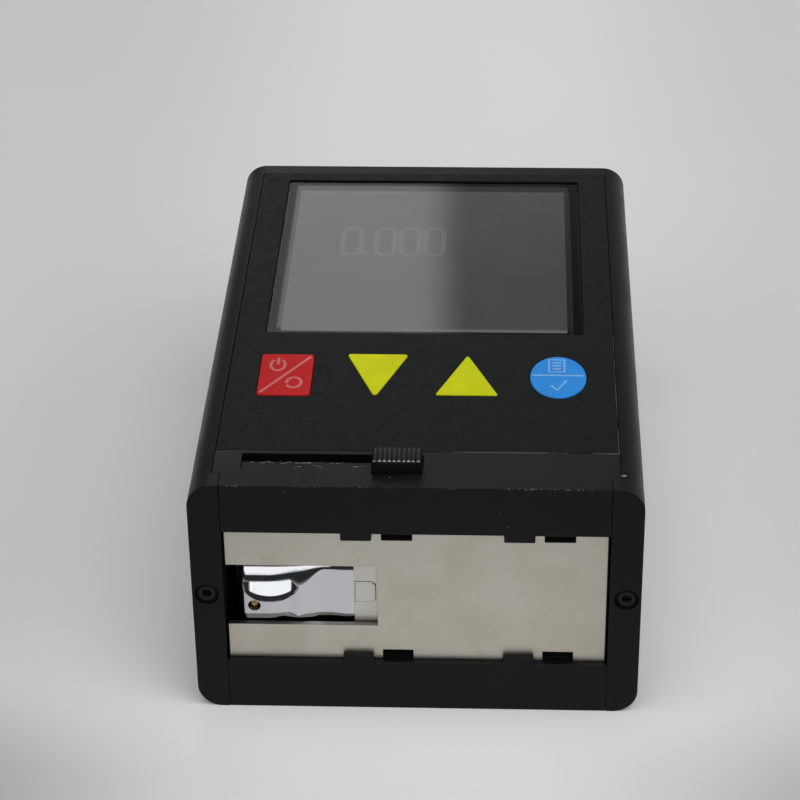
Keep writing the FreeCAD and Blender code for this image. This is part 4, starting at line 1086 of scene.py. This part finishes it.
def bored(arm, back):
    """The arm with the stylus bore cut through its head."""
    tip_low, tip_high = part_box("stylus_tip")
    tip = (tip_low + tip_high) / 2
    overcut = 1 * MM
    centre = Vector((tip.x, FRONT - overcut, tip.z))
    bore_length = back - FRONT - 2 * overcut
    bore = lathe("bore_tool", [(0, BORE_RADIUS), (bore_length, BORE_RADIUS)], centre, count=48)
    carve = arm.modifiers.new("bore", "BOOLEAN")
    carve.operation = "DIFFERENCE"
    carve.solver = "EXACT"
    carve.object = bore
    arm = applied(arm)
    bpy.data.objects.remove(bore)
    return arm


def make_pickup():
    """The polished arm and head, with an eye for the pivot and a bore for the stylus."""
    low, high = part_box("pickup_body")
    pin_low, pin_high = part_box("pivot_pin")
    pivot = (pin_low + pin_high) / 2
    arm = bored(loft_arm(low.x / MM, pivot.x / MM, (high.y - FRONT) / MM), high.y)
    eye_outline = ellipse(pivot.x, pivot.y, EYE_RADIUS, EYE_RADIUS)
    hole = ellipse(pivot.x, pivot.y, PIN_HOLE_RADIUS, PIN_HOLE_RADIUS)
    eye = prism("pickup_eye", [eye_outline, hole], low.z + 0.7 * MM, high.z, 0.15 * MM)
    pickup = smooth(join("pickup_polished", [arm, eye]), 32)
    dress(pickup, polished_chrome("pickup_chrome"), "pickup")
    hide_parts("pickup_body")


def make_stylus():
    """The brass holder, with a domed end round the stylus tip."""
    low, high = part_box("stylus_holder")
    middle = (low + high) / 2
    radius = (high.x - low.x) / 2
    dome = ((0, 0.45), (0.05 * MM, 0.62), (0.7 * MM, 0.9), (0.85 * MM, 1))
    profile = [(low.y + along, radius * share) for along, share in dome]
    profile.append((high.y, radius))
    holder = lathe("stylus_brass_sleeve", profile, Vector((middle.x, 0, middle.z)))
    dress(holder, machined_metal("stylus_brass", 0.28), "stylus")
    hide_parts("stylus_holder")


# ---- dust and lint ----

RIGHT = Vector((1, 0, 0))
REAR = Vector((0, 1, 0))
UP = Vector((0, 0, 1))
SLOT_LINT = 30
STRIP_SPECKS = 4
FACE_SPECKS = 3
FLAKE_CORNERS = ((-1, -1), (1, -1), (1, 1), (-1, 1))
FLAKE_FACES = ((3, 2, 1, 0), (4, 5, 6, 7), (0, 1, 5, 4), (1, 2, 6, 5), (2, 3, 7, 6), (3, 0, 4, 7))


def flake(base, across, up, length, width, lift, turn):
    """Corners of a tiny flat block that lies on the surface with these two directions, and its faces."""
    facing = across.cross(up)
    along = (across * math.cos(turn) + up * math.sin(turn)) * length
    side = (up * math.cos(turn) - across * math.sin(turn)) * width
    corners = []
    for height in (-0.01 * MM, lift):
        rise = facing * height
        corners += [tuple(base + rise + a * along + b * side) for a, b in FLAKE_CORNERS]
    return corners, FLAKE_FACES


def slot_lint():
    """Fibres and dust on the slot's shelf, most of them along its rear edge."""
    shelf = TOP - 0.5 * MM
    depth = random.choice((random.uniform(7.2, 7.5), random.uniform(5.9, 7.5))) * MM
    base = Vector((random.uniform(-26.6, -7.5) * MM, FRONT + depth, shelf))
    length = random.choice((0.04, 0.07, 0.3, 0.8)) * MM
    width = random.uniform(0.012, 0.03) * MM
    return flake(base, RIGHT, REAR, length, width, 0.03 * MM, random.uniform(-0.4, 0.4))


def strip_speck():
    base = Vector((random.uniform(-30, 30) * MM, FRONT + random.uniform(0.6, 4) * MM, TOP))
    return flake(base, RIGHT, REAR, 0.04 * MM, 0.04 * MM, 0.02 * MM, 0.3)


def seam_speck(shift):
    """One of the crumbs in the seam at the strip's right end."""
    base = Vector((HALF_WIDTH - 3.45 * MM + shift * MM, FRONT + 3.9 * MM, TOP))
    return flake(base, RIGHT, REAR, 0.16 * MM, 0.14 * MM, 0.1 * MM, 0.5 + shift)


def face_speck():
    base = Vector((random.uniform(-29, 29) * MM, FRONT, random.uniform(35, 41.5) * MM))
    return flake(base, RIGHT, UP, 0.045 * MM, 0.045 * MM, 0.02 * MM, 0.3)


def make_lint():
    """Dust and fibres on the slot's shelf, with specks on the strip, in the right seam and on the front."""
    random.seed(7)
    flakes = [slot_lint() for _ in range(SLOT_LINT)]
    flakes += [strip_speck() for _ in range(STRIP_SPECKS)]
    flakes += [seam_speck(shift) for shift in (0.0, 0.15, 0.35)]
    flakes += [face_speck() for _ in range(FACE_SPECKS)]
    points = []
    faces = []
    for corners, quads in flakes:
        start = len(points)
        points += corners
        faces += [tuple(start + corner for corner in quad) for quad in quads]
    lint = mesh_from("dust_and_lint", points, faces)
    dress(lint, plastic("lint_pale", 0.9), "root")


# ---- carried-over CAD nodes ----


def coat_case():
    """The black case, its plate, screws, slider link and window."""
    housing_edges = [(("Y", HOUSING_LOW.y), ("Z", TOP))]
    frame_edges = [(("Y", FRONT), ("Z", TOP))]
    frame_edges += [(("Y", FRONT), ("X", side * HALF_WIDTH)) for side in (-1, 1)]
    coat(["housing", "rear_cap"], coated_metal("housing_anodised", 0.34, 0.010 * MM, 0.095, housing_edges))
    front = coated_metal("frame_anodised", 0.42, 0.014 * MM, 0.16, frame_edges)
    coat(["front_frame", "left_cheek", "right_cheek"], front)
    coat(["base_plate"], satin_nickel("plate_nickel", 0.42))
    coat(["front_screws", "rear_screws"], screw_oxide("screw_oxide"))
    coat(["slider_link"], coated_metal("link_black", 0.5, 0.010 * MM, 0.13))
    coat(["display_window"], window_glass("window_glass"))
    coat(["window_gasket", "battery_pad"], plastic("gasket_rubber", 0.85))
    coat(["status_lamp"], plastic("lamp_lens", 0.6, Specular_IOR_Level=0.1))


def coat_inside():
    """The drive, the boards and everything else behind the case."""
    steel = machined_metal("bright_steel", 0.25)
    coat(["guide_rods", "lead_screw", "pivot_pin", "bracket_screws", "board_screws", "display_tray"], steel)
    coat(["pickup_spring", "key_domes", "charge_socket", "drive_motor"], steel)
    coat(["carriage", "drive_bracket"], machined_metal("machined_alloy", 0.35))
    bronze = machined_metal("bush_bronze", 0.35)
    coat(["carriage_bushes", "screw_bearings", "screw_gear", "motor_pinion", "board_standoffs"], bronze)
    coat(["carriage_nut"], plastic("nut_acetal", 0.45))
    coat(["limit_switches", "board_chips", "buzzer"], plastic("moulded_black", 0.5))
    coat(["keypad_board", "main_board"], board_resin("board_green"))
    coat(["battery"], plastic("battery_wrap", 0.4))
    coat(["stylus_tip"], plastic("stylus_diamond", 0.15))


def soften_nodes():
    soften(["housing", "rear_cap", "front_frame", "left_cheek", "right_cheek"], 0.15 * MM, 3)
    soften(["base_plate", "slider_link"], 0.07 * MM)
    soften(["front_screws", "rear_screws"], 0.12 * MM)


make_camera()
make_floor()
make_world()
make_softbox()
bpy.context.scene.view_settings.view_transform = "Standard"
coat_case()
coat_inside()
soften_nodes()
make_keys()
make_top_panel()
make_display()
make_shutter()
make_knob()
make_pickup()
make_stylus()
make_lint()
